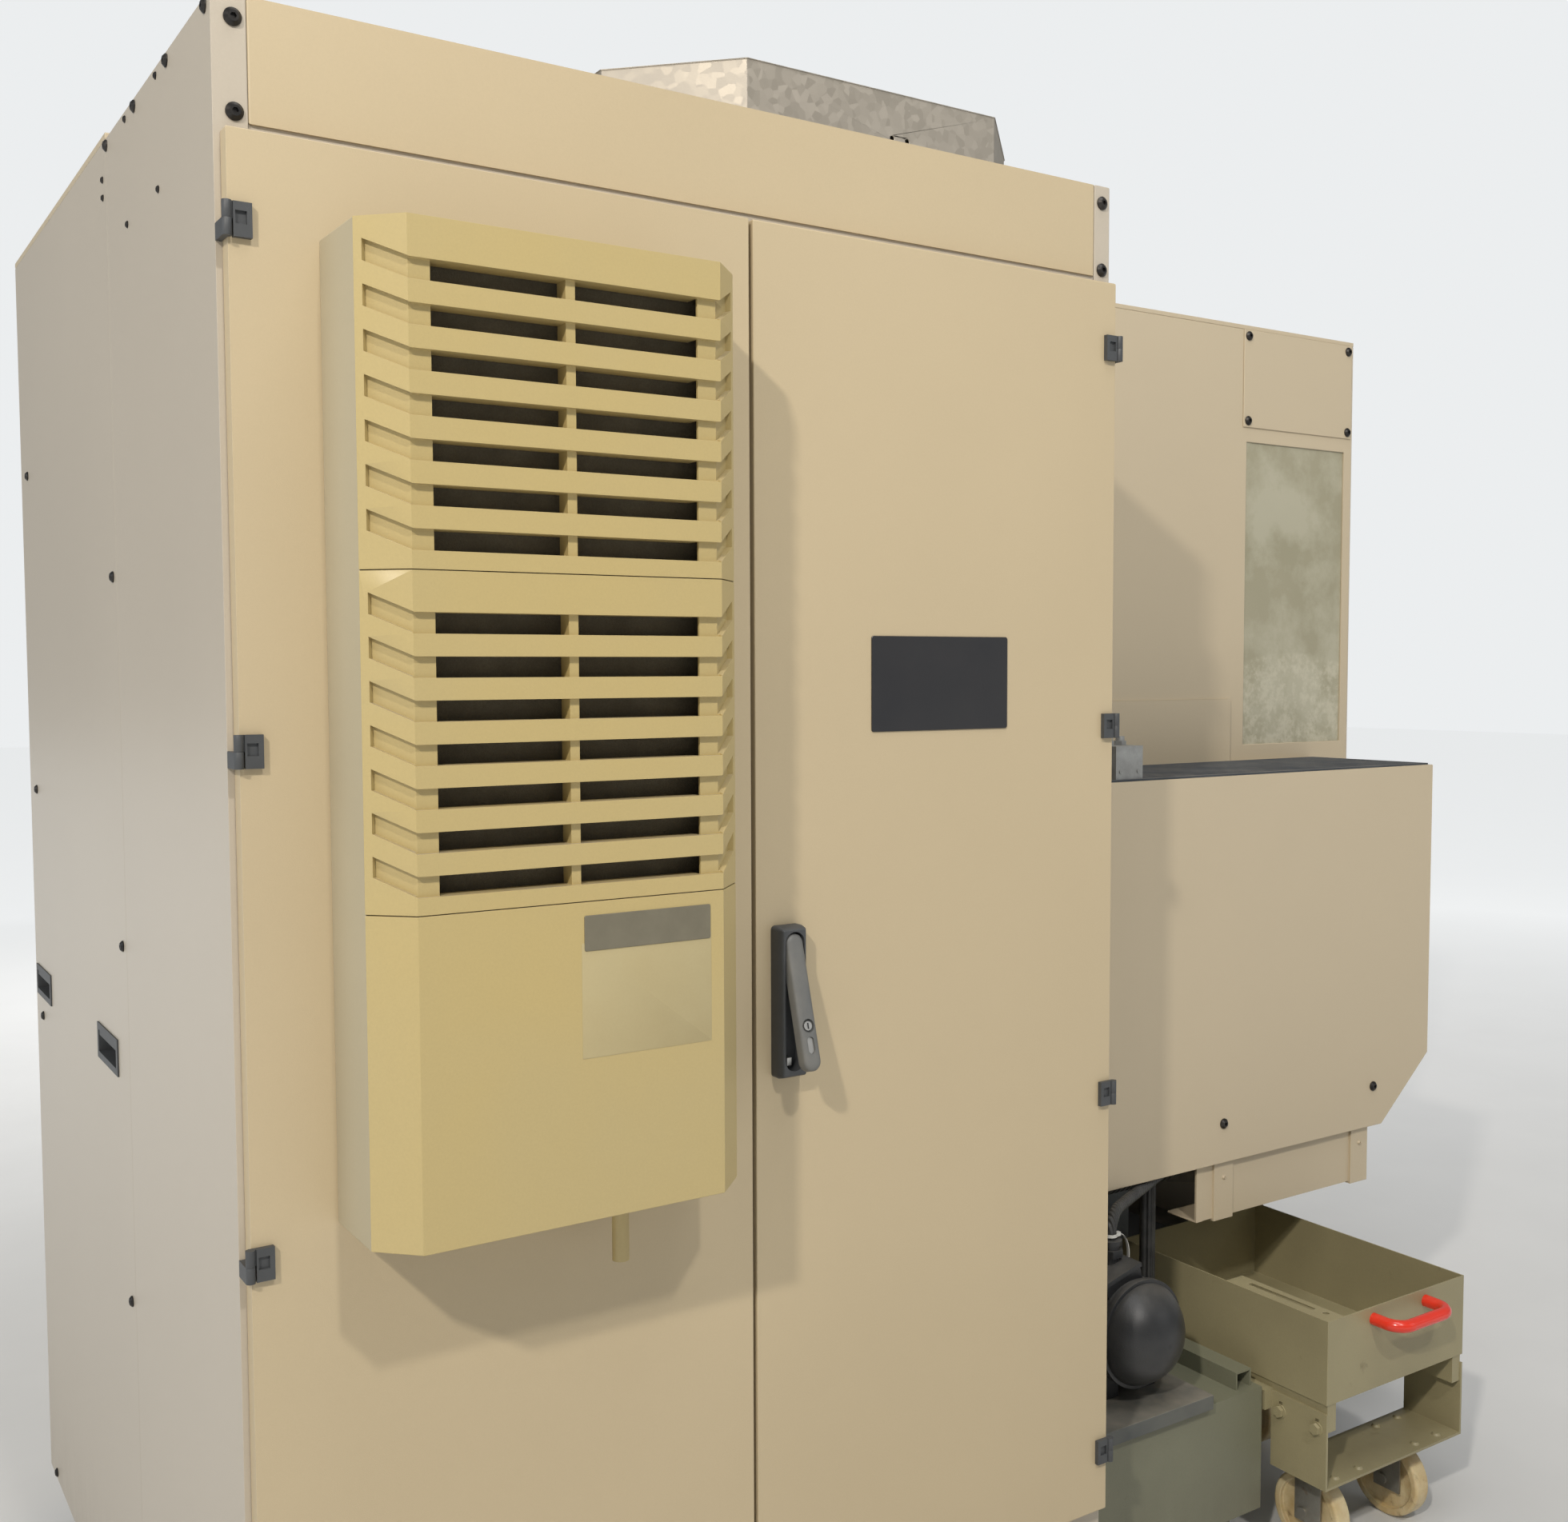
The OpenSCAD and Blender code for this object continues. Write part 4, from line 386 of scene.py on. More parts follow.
def floor_grime():
    """Brown film that grows from a height down to the floor, broken into runs and spots."""
    wires, given, result = group("Floor grime", ("Color", "Mask"), Color=WHITE,
                                 Grime=(0.09, 0.07, 0.045, 1), Height=0.5, Amount=0.4)
    here = wires.here()
    rise = wires.math("DIVIDE", wires.split(here)["Z"], given["Height"], clamp=True)
    low = wires.math("MAXIMUM", wires.math("SUBTRACT", 1.0, rise), 0.0)
    low = wires.math("POWER", low, 1.6)
    tall = wires.add("ShaderNodeMapping")
    tall.inputs["Scale"].default_value = (6, 6, 0.8)
    wires.set(tall.inputs["Vector"], here)
    spots = wires.ramp(wires.noise(22.0, detail=5.0, rough=0.65, vector=here), 0.3, 0.72)
    runs = wires.ramp(wires.noise(8.0, detail=3.0, rough=0.5, vector=tall.outputs[0]), 0.3, 0.75)
    film = wires.math("ADD", wires.math("MULTIPLY", spots, 0.6), wires.math("MULTIPLY", runs, 0.5))
    mask = wires.math("MULTIPLY", wires.math("MULTIPLY", low, film), given["Amount"], clamp=True)
    wires.set(result["Color"], wires.mix(mask, given["Color"], given["Grime"]))
    wires.set(result["Mask"], mask)
    return wires.tree


def stained_spots():
    """Irregular stains, such as rust, oil or caked chips, with a soft rim."""
    wires, given, result = group("Stained spots", ("Color", "Mask"), Color=WHITE,
                                 Stain=(0.11, 0.05, 0.02, 1), Scale=30.0, Cover=0.35, Amount=0.8)
    field = wires.noise(given["Scale"], detail=6.0, rough=0.62)
    rim = wires.math("SUBTRACT", 0.78, wires.math("MULTIPLY", given["Cover"], 0.55))
    spots = wires.ramp(field, rim, wires.math("ADD", rim, 0.16))
    mask = wires.math("MULTIPLY", spots, given["Amount"], clamp=True)
    wires.set(result["Color"], wires.mix(mask, given["Color"], given["Stain"]))
    wires.set(result["Mask"], mask)
    return wires.tree


def drawn_lines():
    """Fine parallel lines of brushed or ground metal along one axis."""
    wires, given, result = group("Drawn lines", ("Height",), Stretch=(1, 60, 60), Scale=12.0)
    stretched = wires.add("ShaderNodeVectorMath")
    stretched.operation = "MULTIPLY"
    wires.set(stretched.inputs[0], wires.here())
    wires.set(stretched.inputs[1], given["Stretch"])
    lines = wires.noise(given["Scale"], detail=3.0, rough=0.6, vector=stretched.outputs[0])
    wires.set(result["Height"], lines)
    return wires.tree


def zinc_spangle():
    """Crystal patches of hot dipped zinc."""
    wires, given, result = group("Zinc spangle", ("Tone", "Height"), Scale=70.0)
    crystals = wires.add("ShaderNodeTexVoronoi")
    wires.set(crystals.inputs["Vector"], wires.here())
    wires.set(crystals.inputs["Scale"], given["Scale"])
    tones = wires.add("ShaderNodeSeparateColor")
    wires.set(tones.inputs[0], crystals.outputs["Color"])
    wires.set(result["Tone"], tones.outputs[0])
    wires.set(result["Height"], wires.math("MULTIPLY", wires.noise(260.0, detail=2.0, rough=0.5), 0.4))
    return wires.tree


def crumpled_sheet():
    """Pale creased film behind a pane, below an arched edge."""
    wires, given, result = group("Crumpled sheet", ("Color", "Mask"), Color=WHITE, Crease=WHITE,
                                 Middle=-0.98, Top=1.43, Bow=0.9, Amount=0.5)
    place = wires.split(wires.here())
    aside = wires.math("POWER", wires.math("SUBTRACT", place["X"], given["Middle"]), 2.0)
    arch = wires.math("SUBTRACT", given["Top"], wires.math("MULTIPLY", aside, given["Bow"]))
    below = wires.ramp(wires.math("SUBTRACT", arch, place["Z"]), 0.0, 0.008)
    crease = wires.ramp(wires.noise(46.0, detail=4.0, rough=0.7), 0.44, 0.62)
    film = wires.math("ADD", wires.math("MULTIPLY", crease, 0.75), 0.15)
    mask = wires.math("MULTIPLY", wires.math("MULTIPLY", below, film), given["Amount"], clamp=True)
    wires.set(result["Color"], wires.mix(mask, given["Color"], given["Crease"]))
    wires.set(result["Mask"], mask)
    return wires.tree


def hose_ribs():
    """Raised rings along X, for corrugated hose."""
    wires, given, result = group("Hose ribs", ("Height",), Pitch=0.0055)
    turn = wires.math("DIVIDE", wires.split(wires.here())["X"], given["Pitch"])
    node = wires.add("ShaderNodeMath")
    node.operation = "SINE"
    wires.set(node.inputs[0], wires.math("MULTIPLY", turn, math.tau))
    wires.set(result["Height"], node.outputs[0])
    return wires.tree


EFFECTS = {}


def shared(make):
    """The node group of an effect, built once."""
    if make not in EFFECTS:
        EFFECTS[make] = make()
    return EFFECTS[make]


# Materials


class Finish(Wires):
    """One material: a Principled shader whose inputs are fed by the shared effects."""

    def __init__(self, name, base, rough, metallic=0.0, **constants):
        self.material = bpy.data.materials.new(name)
        self.material.use_nodes = True
        super().__init__(self.material.node_tree)
        self.shader = self.tree.nodes["Principled BSDF"]
        self.color = (*base, 1)
        self.rough = rough
        self.material.diffuse_color = self.color
        self.shader.inputs["Metallic"].default_value = metallic
        for key, value in constants.items():
            self.shader.inputs[key.replace("_", " ")].default_value = value

    def effect(self, make, **values):
        """Places a shared effect and gives its results."""
        node = self.add("ShaderNodeGroup")
        node.node_tree = shared(make)
        for key, value in values.items():
            self.set(node.inputs[key.replace("_", " ")], value)
        return node.outputs

    def age(self, aged, patches, amount, speckle):
        """Lets the colour drift to its aged tone in patches."""
        results = self.effect(aged_tone, Fresh=self.color, Aged=aged, Patch_Scale=patches,
                              Amount=amount, Speckle=speckle)
        self.color = results["Color"]
        return self

    def layer(self, make, rough=None, **values):
        """Lays a colour effect over the colour so far, with its own roughness where one is given."""
        results = self.effect(make, Color=self.color, **values)
        self.color = results["Color"]
        if rough is not None:
            self.roughen(results["Mask"], rough)
        return self

    def roughen(self, mask, rough):
        """Brings the roughness to another value where the mask is."""
        node = self.add("ShaderNodeMapRange")
        self.set(node.inputs["Value"], mask)
        self.set(node.inputs["To Min"], self.rough)
        self.set(node.inputs["To Max"], rough)
        self.rough = node.outputs[0]
        return self

    def relief(self, height, depth, strength):
        """Raises the surface by a height map, with its depth in metres."""
        node = self.add("ShaderNodeBump")
        self.set(node.inputs["Distance"], depth)
        self.set(node.inputs["Strength"], strength)
        self.set(node.inputs["Height"], height)
        self.set(self.shader.inputs["Normal"], node.outputs[0])
        return self

    def grain(self, scale, waviness, depth, strength):
        """Relief of a sprayed or moulded surface."""
        height = self.effect(powder_grain, Scale=scale, Waviness=waviness)["Height"]
        return self.relief(height, depth, strength)

    def done(self):
        """Feeds the shader and gives the finished material."""
        self.set(self.shader.inputs["Base Color"], self.color)
        self.set(self.shader.inputs["Roughness"], self.rough)
        return self.material


def deeper(rgb, share):
    """The colour with each channel at a share of its value."""
    return tuple(channel * share for channel in rgb)


def powder(name, base, aged=0.9, rough=0.42, grain=950.0):
    """Powder coat with settled dust, and with grime near the floor."""
    return (Finish(name, base, rough, Specular_IOR_Level=0.45)
            .age(deeper(base, aged), patches=1.8, amount=0.5, speckle=0.03)
            .layer(floor_grime, rough=0.8, Height=0.35, Amount=0.25)
            .layer(settled_dust, Amount=0.35)
            .grain(grain, waviness=0.25, depth=0.00022, strength=0.5))


def machine_paint(name, base):
    """Brushed paint with oil stains and dirt near the floor."""
    return (Finish(name, base, 0.46)
            .age(deeper(base, 0.72), patches=5.0, amount=0.55, speckle=0.08)
            .layer(stained_spots, rough=0.75, Stain=(0.10, 0.075, 0.035), Scale=24.0, Cover=0.22, Amount=0.6)
            .layer(floor_grime, Height=0.22, Amount=0.8)
            .grain(600.0, waviness=0.4, depth=0.0003, strength=0.5))


class Finishes:
    """Every finish of the machine, by the name that the operators use."""

    def __init__(self, paint):
        self.paint = paint

    def door(self):
        return powder("Cream powder coat", self.paint.door)

    def panel(self):
        return powder("Beige powder coat", self.paint.panel, aged=0.92)

    def side(self):
        return powder("Satin side panel coat", self.paint.side, aged=0.93, rough=0.33, grain=1100.0)

    def unit(self):
        return (Finish("Painted cooler sheet", self.paint.unit, 0.45)
                .age(deeper(self.paint.unit, 0.86), patches=3.0, amount=0.6, speckle=0.04)
                .layer(settled_dust, Amount=0.6)
                .grain(1200.0, waviness=0.1, depth=0.0002, strength=0.4))

    def cover(self):
        return (Finish("Yellowed moulded plastic", self.paint.cover, 0.4, Specular_IOR_Level=0.5)
                .age((0.49, 0.37, 0.14), patches=3.4, amount=0.55, speckle=0.05)
                .layer(settled_dust, Amount=0.75)
                .layer(stained_spots, Stain=(0.12, 0.10, 0.06), Scale=60.0, Cover=0.05, Amount=0.5)
                .grain(1500.0, waviness=0.1, depth=0.00018, strength=0.45))

    def cart(self):
        return machine_paint("Gray green machine paint", self.paint.cart)

    def tank(self):
        return machine_paint("Tank paint", self.paint.tank)

    def lid(self):
        return (Finish("Dark tank lid paint", (0.055, 0.062, 0.062), 0.5)
                .age((0.14, 0.14, 0.12), patches=9.0, amount=0.7, speckle=0.1)
                .layer(settled_dust, Amount=0.7))

    def motor(self):
        return (Finish("Black motor enamel", (0.012, 0.013, 0.015), 0.36)
                .age((0.05, 0.05, 0.05), patches=11.0, amount=0.5, speckle=0.1)
                .layer(settled_dust, rough=0.85, Dust=(0.20, 0.19, 0.17), Amount=0.55)
                .grain(700.0, waviness=0.3, depth=0.0003, strength=0.7))

    def hose(self):
        finish = Finish("Ribbed rubber hose", (0.03, 0.03, 0.031), 0.55)
        finish.age((0.09, 0.088, 0.08), patches=26.0, amount=0.7, speckle=0.1)
        ribs = finish.effect(hose_ribs, Pitch=bpy.context.scene.fitting_sizes.rib_pitch)
        return finish.relief(ribs["Height"], depth=0.0012, strength=0.8)

    def hinge(self):
        return (Finish("Anthracite moulding", self.paint.hinge, 0.5)
                .age(deeper(self.paint.hinge, 1.5), patches=30.0, amount=0.4, speckle=0.04)
                .grain(1800.0, waviness=0.05, depth=0.00015, strength=0.6))

    def screw(self):
        return (Finish("Blackened steel screws", (0.02, 0.02, 0.021), 0.38, metallic=0.7)
                .age((0.07, 0.06, 0.05), patches=60.0, amount=0.6, speckle=0.05))

    def zinc(self):
        finish = Finish("Hot dipped zinc", (0.50, 0.49, 0.46), 0.42, metallic=0.55)
        spangle = finish.effect(zinc_spangle, Scale=75.0)
        finish.color = finish.mix(spangle["Tone"], (0.35, 0.315, 0.26), (0.43, 0.39, 0.33))
        finish.layer(settled_dust, Dust=(0.34, 0.31, 0.26), Amount=0.6)
        finish.roughen(spangle["Tone"], 0.6)
        return finish.relief(spangle["Height"], depth=0.0002, strength=0.5)

    def mat(self):
        return (Finish("Rubber matting", (0.035, 0.045, 0.06), 0.72)
                .age((0.09, 0.10, 0.11), patches=12.0, amount=0.7, speckle=0.12)
                .layer(settled_dust, Amount=0.35)
                .grain(500.0, waviness=0.2, depth=0.0005, strength=0.8))

    def alloy(self):
        return (Finish("Cast light alloy", (0.36, 0.365, 0.355), 0.5, metallic=0.35)
                .age((0.22, 0.22, 0.21), patches=40.0, amount=0.7, speckle=0.1)
                .grain(800.0, waviness=0.2, depth=0.0003, strength=0.8))

    def red(self):
        return (Finish("Red moulded grip", self.paint.handle, 0.24, Coat_Weight=0.3, Coat_Roughness=0.12)
                .age(deeper(self.paint.handle, 0.75), patches=20.0, amount=0.35, speckle=0.03)
                .grain(300.0, waviness=0.1, depth=0.0001, strength=0.3))

    def fork(self):
        return (Finish("Zinc plated castor fork", (0.38, 0.37, 0.33), 0.42, metallic=0.75)
                .age((0.20, 0.17, 0.12), patches=18.0, amount=0.7, speckle=0.1)
                .layer(stained_spots, rough=0.8, Stain=(0.13, 0.055, 0.02), Scale=34.0, Cover=0.35,
                       Amount=0.8))

    def nylon(self):
        return (Finish("Soiled nylon", shade(214, 198, 158), 0.42, Subsurface_Weight=0.05)
                .age(shade(176, 146, 92), patches=24.0, amount=0.8, speckle=0.08)
                .layer(stained_spots, rough=0.75, Stain=(0.10, 0.05, 0.015), Scale=38.0, Cover=0.32,
                       Amount=0.75)
                .grain(400.0, waviness=0.5, depth=0.0006, strength=0.6))

    def casting(self):
        return (Finish("Painted casting", self.paint.machine, 0.52)
                .age(deeper(self.paint.machine, 0.75), patches=4.0, amount=0.6, speckle=0.07)
                .layer(floor_grime, Height=0.6, Amount=0.5)
                .grain(160.0, waviness=0.6, depth=0.0009, strength=0.6))

    def frame(self):
        return (Finish("Dark frame paint", (0.05, 0.055, 0.057), 0.55)
                .age((0.11, 0.105, 0.095), patches=5.0, amount=0.7, speckle=0.08)
                .layer(settled_dust, Amount=0.8))

    def bright(self):
        return (Finish("Satin plated metal", (0.58, 0.57, 0.54), 0.34, metallic=0.85)
                .age((0.34, 0.33, 0.31), patches=60.0, amount=0.4, speckle=0.04))

    def dull(self):
        return (Finish("Dull type plate", shade(122, 116, 98), 0.45, metallic=0.25)
                .age(shade(104, 98, 82), patches=30.0, amount=0.5, speckle=0.04))

    def grip(self):
        return (Finish("Pale moulded grip", shade(96, 97, 96), 0.46)
                .age(shade(120, 118, 112), patches=40.0, amount=0.4, speckle=0.05)
                .grain(1800.0, waviness=0.05, depth=0.00015, strength=0.6))

    def plate(self):
        return (Finish("Dark enamelled plate", shade(30, 30, 33), 0.3, Specular_IOR_Level=0.55)
                .age(shade(44, 42, 42), patches=14.0, amount=0.4, speckle=0.02))

    def label(self):
        return (Finish("Faded paper label", shade(174, 160, 120), 0.6)
                .age(shade(168, 152, 110), patches=12.0, amount=0.6, speckle=0.03))

    def filter(self):
        finish = Finish("Dusty filter mat", shade(112, 104, 86), 0.95)
        finish.age(shade(84, 78, 64), patches=22.0, amount=0.7, speckle=0.3)
        return finish.relief(finish.noise(900.0, detail=3.0, rough=0.7), depth=0.001, strength=1.0)

    def tie(self):
        return Finish("White nylon tie", shade(214, 212, 204), 0.4)

    def screen(self):
        return Finish("Dark display glass", shade(26, 30, 34), 0.12, Coat_Weight=0.5)

    def key(self):
        return (Finish("Key caps", shade(206, 204, 196), 0.5)
                .age(shade(180, 176, 166), patches=60.0, amount=0.5, speckle=0.02))

    def steel(self):
        finish = Finish("Ground steel", (0.48, 0.49, 0.50), 0.3, metallic=0.95)
        finish.age((0.30, 0.30, 0.30), patches=9.0, amount=0.5, speckle=0.02)
        lines = finish.effect(drawn_lines, Stretch=(60, 1.5, 60), Scale=10.0)["Height"]
        return finish.roughen(lines, 0.5).relief(lines, depth=0.0002, strength=0.3)

    def foot(self):
        return (Finish("Levelling steel", (0.33, 0.33, 0.32), 0.45, metallic=0.85)
                .layer(stained_spots, rough=0.8, Stain=(0.12, 0.06, 0.03), Scale=60.0, Cover=0.25,
                       Amount=0.6))

    def fins(self):
        finish = Finish("Coil fins", (0.42, 0.42, 0.41), 0.45, metallic=0.8)
        lines = finish.effect(drawn_lines, Stretch=(90, 1, 1), Scale=16.0)["Height"]
        # Painted shade: the dark bands between the light fin metal stand for the shade in the gaps between
        # the fins
        finish.color = finish.mix(finish.ramp(lines, 0.35, 0.65), (0.10, 0.10, 0.095), (0.42, 0.42, 0.40))
        finish.layer(stained_spots, Stain=(0.035, 0.033, 0.03), Scale=16.0, Cover=0.5, Amount=0.8)
        return finish.relief(lines, depth=0.001, strength=0.7)

    def fan(self):
        return (Finish("Black fan plastic", (0.03, 0.03, 0.032), 0.5)
                .age((0.10, 0.095, 0.085), patches=16.0, amount=0.8, speckle=0.1))

    def module(self):
        return (Finish("Switchgear plastic", (0.52, 0.52, 0.50), 0.48)
                .age((0.42, 0.41, 0.37), patches=12.0, amount=0.6, speckle=0.02)
                .grain(1400.0, waviness=0.1, depth=0.00015, strength=0.4))

    def console(self):
        return (Finish("Console enamel", shade(178, 174, 166), 0.4)
                .age(shade(164, 158, 148), patches=5.0, amount=0.5, speckle=0.03)
                .layer(settled_dust, Amount=0.3)
                .grain(1200.0, waviness=0.1, depth=0.0002, strength=0.4))

    def pane(self):
        return (Finish("Clear door pane", (0.55, 0.60, 0.58), 0.06,
                       Transmission_Weight=0.9, IOR=1.45, Alpha=0.35)
                .age((0.42, 0.46, 0.42), patches=6.0, amount=0.4, speckle=0.02))

    def clouded(self):
        finish = Finish("Clouded window pane", shade(158, 152, 128), 0.3, Specular_IOR_Level=0.5)
        finish.age(shade(140, 136, 110), patches=3.6, amount=0.6, speckle=0.04)
        finish.layer(crumpled_sheet, Crease=shade(206, 200, 178), Top=1.43, Amount=0.55)
        finish.layer(stained_spots, Stain=shade(196, 192, 172), Scale=7.0, Cover=0.6, Amount=0.4)
        return finish.relief(finish.noise(24.0, detail=5.0, rough=0.7), depth=0.001, strength=0.25)


MATERIALS = {}


def material(name):
    """The material of a finish, made when it is first asked for."""
    if name not in MATERIALS:
        MATERIALS[name] = getattr(Finishes(bpy.context.scene.paint_colours), name)().done()
    return MATERIALS[name]


# Mesh makers: lengths in metres, angles in degrees

REAR_FACING = Matrix(((-1, 0, 0), (0, 0, 1), (0, 1, 0))).to_4x4()
FRONT_FACING = Matrix(((1, 0, 0), (0, 0, -1), (0, 1, 0))).to_4x4()
WELD_DISTANCE = 0.00002
ROUNDED_ABOVE_ANGLE = 40
SMALLEST_CORNER = 0.0002


def dress(finish, *nodes, edge=0.0, segments=2):
    """Gives carried over solids their finish and softly rounded edges."""
    for node in nodes:
        solid = NODES[node]
        solid.data.materials.clear()
        solid.data.materials.append(material(finish))
        if edge:
            weld = solid.modifiers.new("Join corners", "WELD")
            weld.merge_threshold = WELD_DISTANCE
            bevel = solid.modifiers.new("Round edges", "BEVEL")
            bevel.width = edge
            bevel.segments = segments
            bevel.limit_method = "ANGLE"
            bevel.angle_limit = math.radians(ROUNDED_ABOVE_ANGLE)
            bevel.harden_normals = True


def piece(name, mesh, body, finish, smooth=35):
    """A new piece that rides on a body. Edges sharper than smooth, in degrees, stay sharp."""
    made = bpy.data.objects.new(name, mesh)
    bpy.context.scene.collection.objects.link(made)
    mesh.materials.append(material(finish))
    if smooth:
        mesh.shade_smooth()
        mesh.set_sharp_from_angle(angle=math.radians(smooth))
    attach(made, body)
    return made


def mesh_of(name, bm):
    """The drawn faces as a mesh, all facing out."""
    bmesh.ops.recalc_face_normals(bm, faces=bm.faces)
    mesh = bpy.data.meshes.new(name)
    bm.to_mesh(mesh)
    bm.free()
    return mesh


def corners(node):
    """The lowest and highest corners of a node at rest."""
    low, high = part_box(node)
    return Vector(low), Vector(high)


def loft(bm, rings, caps=True):
    """Skins a row of closed rings that have the same number of points."""
    rows = [[bm.verts.new(point) for point in ring] for ring in rings]
    count = len(rows[0])
    for lower, upper in zip(rows, rows[1:]):
        for k in range(count):
            after = (k + 1) % count
            bm.faces.new((lower[k], lower[after], upper[after], upper[k]))
    if caps:
        bm.faces.new(list(reversed(rows[0])))
        bm.faces.new(rows[-1])


def rounded(width, height, radius, steps):
    """Points of a rounded rectangle around the origin."""
    x, y = width / 2 - radius, height / 2 - radius
    points = []
    for middle_x, middle_y, start in ((x, y, 0), (-x, y, 90), (-x, -y, 180), (x, -y, 270)):
        for k in range(steps + 1):
            turn = math.radians(start + 90 * k / steps)
            points.append((middle_x + radius * math.cos(turn), middle_y + radius * math.sin(turn)))
    return points


def block(bm, low, high):
    """A plain block between two corners."""
    low, high = Vector(low), Vector(high)
    place = Matrix.Translation((low + high) / 2) @ Matrix.Diagonal((*(high - low), 1))
    bmesh.ops.create_cube(bm, size=1, matrix=place)


def rod(bm, start, end, radius, sides=28):
    """A round rod between two points."""
    start, end = Vector(start), Vector(end)
    turn = (end - start).to_track_quat("Z", "Y").to_matrix().to_4x4()
    place = Matrix.Translation((start + end) / 2) @ turn
    bmesh.ops.create_cone(bm, cap_ends=True, segments=sides, radius1=radius, radius2=radius,
                          depth=(end - start).length, matrix=place)


def slab(bm, place, width, height, corner, profile, steps=6):
    """A rounded plate in the XY plane of place, with its heights and insets from the back to the front."""
    rings = []
    for z, inset in profile:
        radius = max(corner - inset, SMALLEST_CORNER)
        outline = rounded(width - 2 * inset, height - 2 * inset, radius, steps)
        rings.append([place @ Vector((x, y, z)) for x, y in outline])
    loft(bm, rings)


def on_rear(x, y, z):
    """A place on a face that looks towards the rear of the machine, with its Z axis standing out."""
    return Matrix.Translation((x, y, z)) @ REAR_FACING


def carved(mesh, *cutters):
    """The mesh less the cutters, as a new mesh."""
    collection = bpy.context.scene.collection
    body = bpy.data.objects.new("carved body", mesh)
    collection.objects.link(body)
    tools = []
    for cutter in cutters:
        tool = bpy.data.objects.new("cutter", cutter)
        collection.objects.link(tool)
        cut = body.modifiers.new("Cut", "BOOLEAN")
        cut.operation = "DIFFERENCE"
        cut.solver = "EXACT"
        cut.object = tool
        tools.append(tool)
    graph = bpy.context.evaluated_depsgraph_get()
    result = bpy.data.meshes.new_from_object(body.evaluated_get(graph))
    for used in (body, *tools):
        bpy.data.objects.remove(used)
    result.materials.clear()
    return result


# Operators


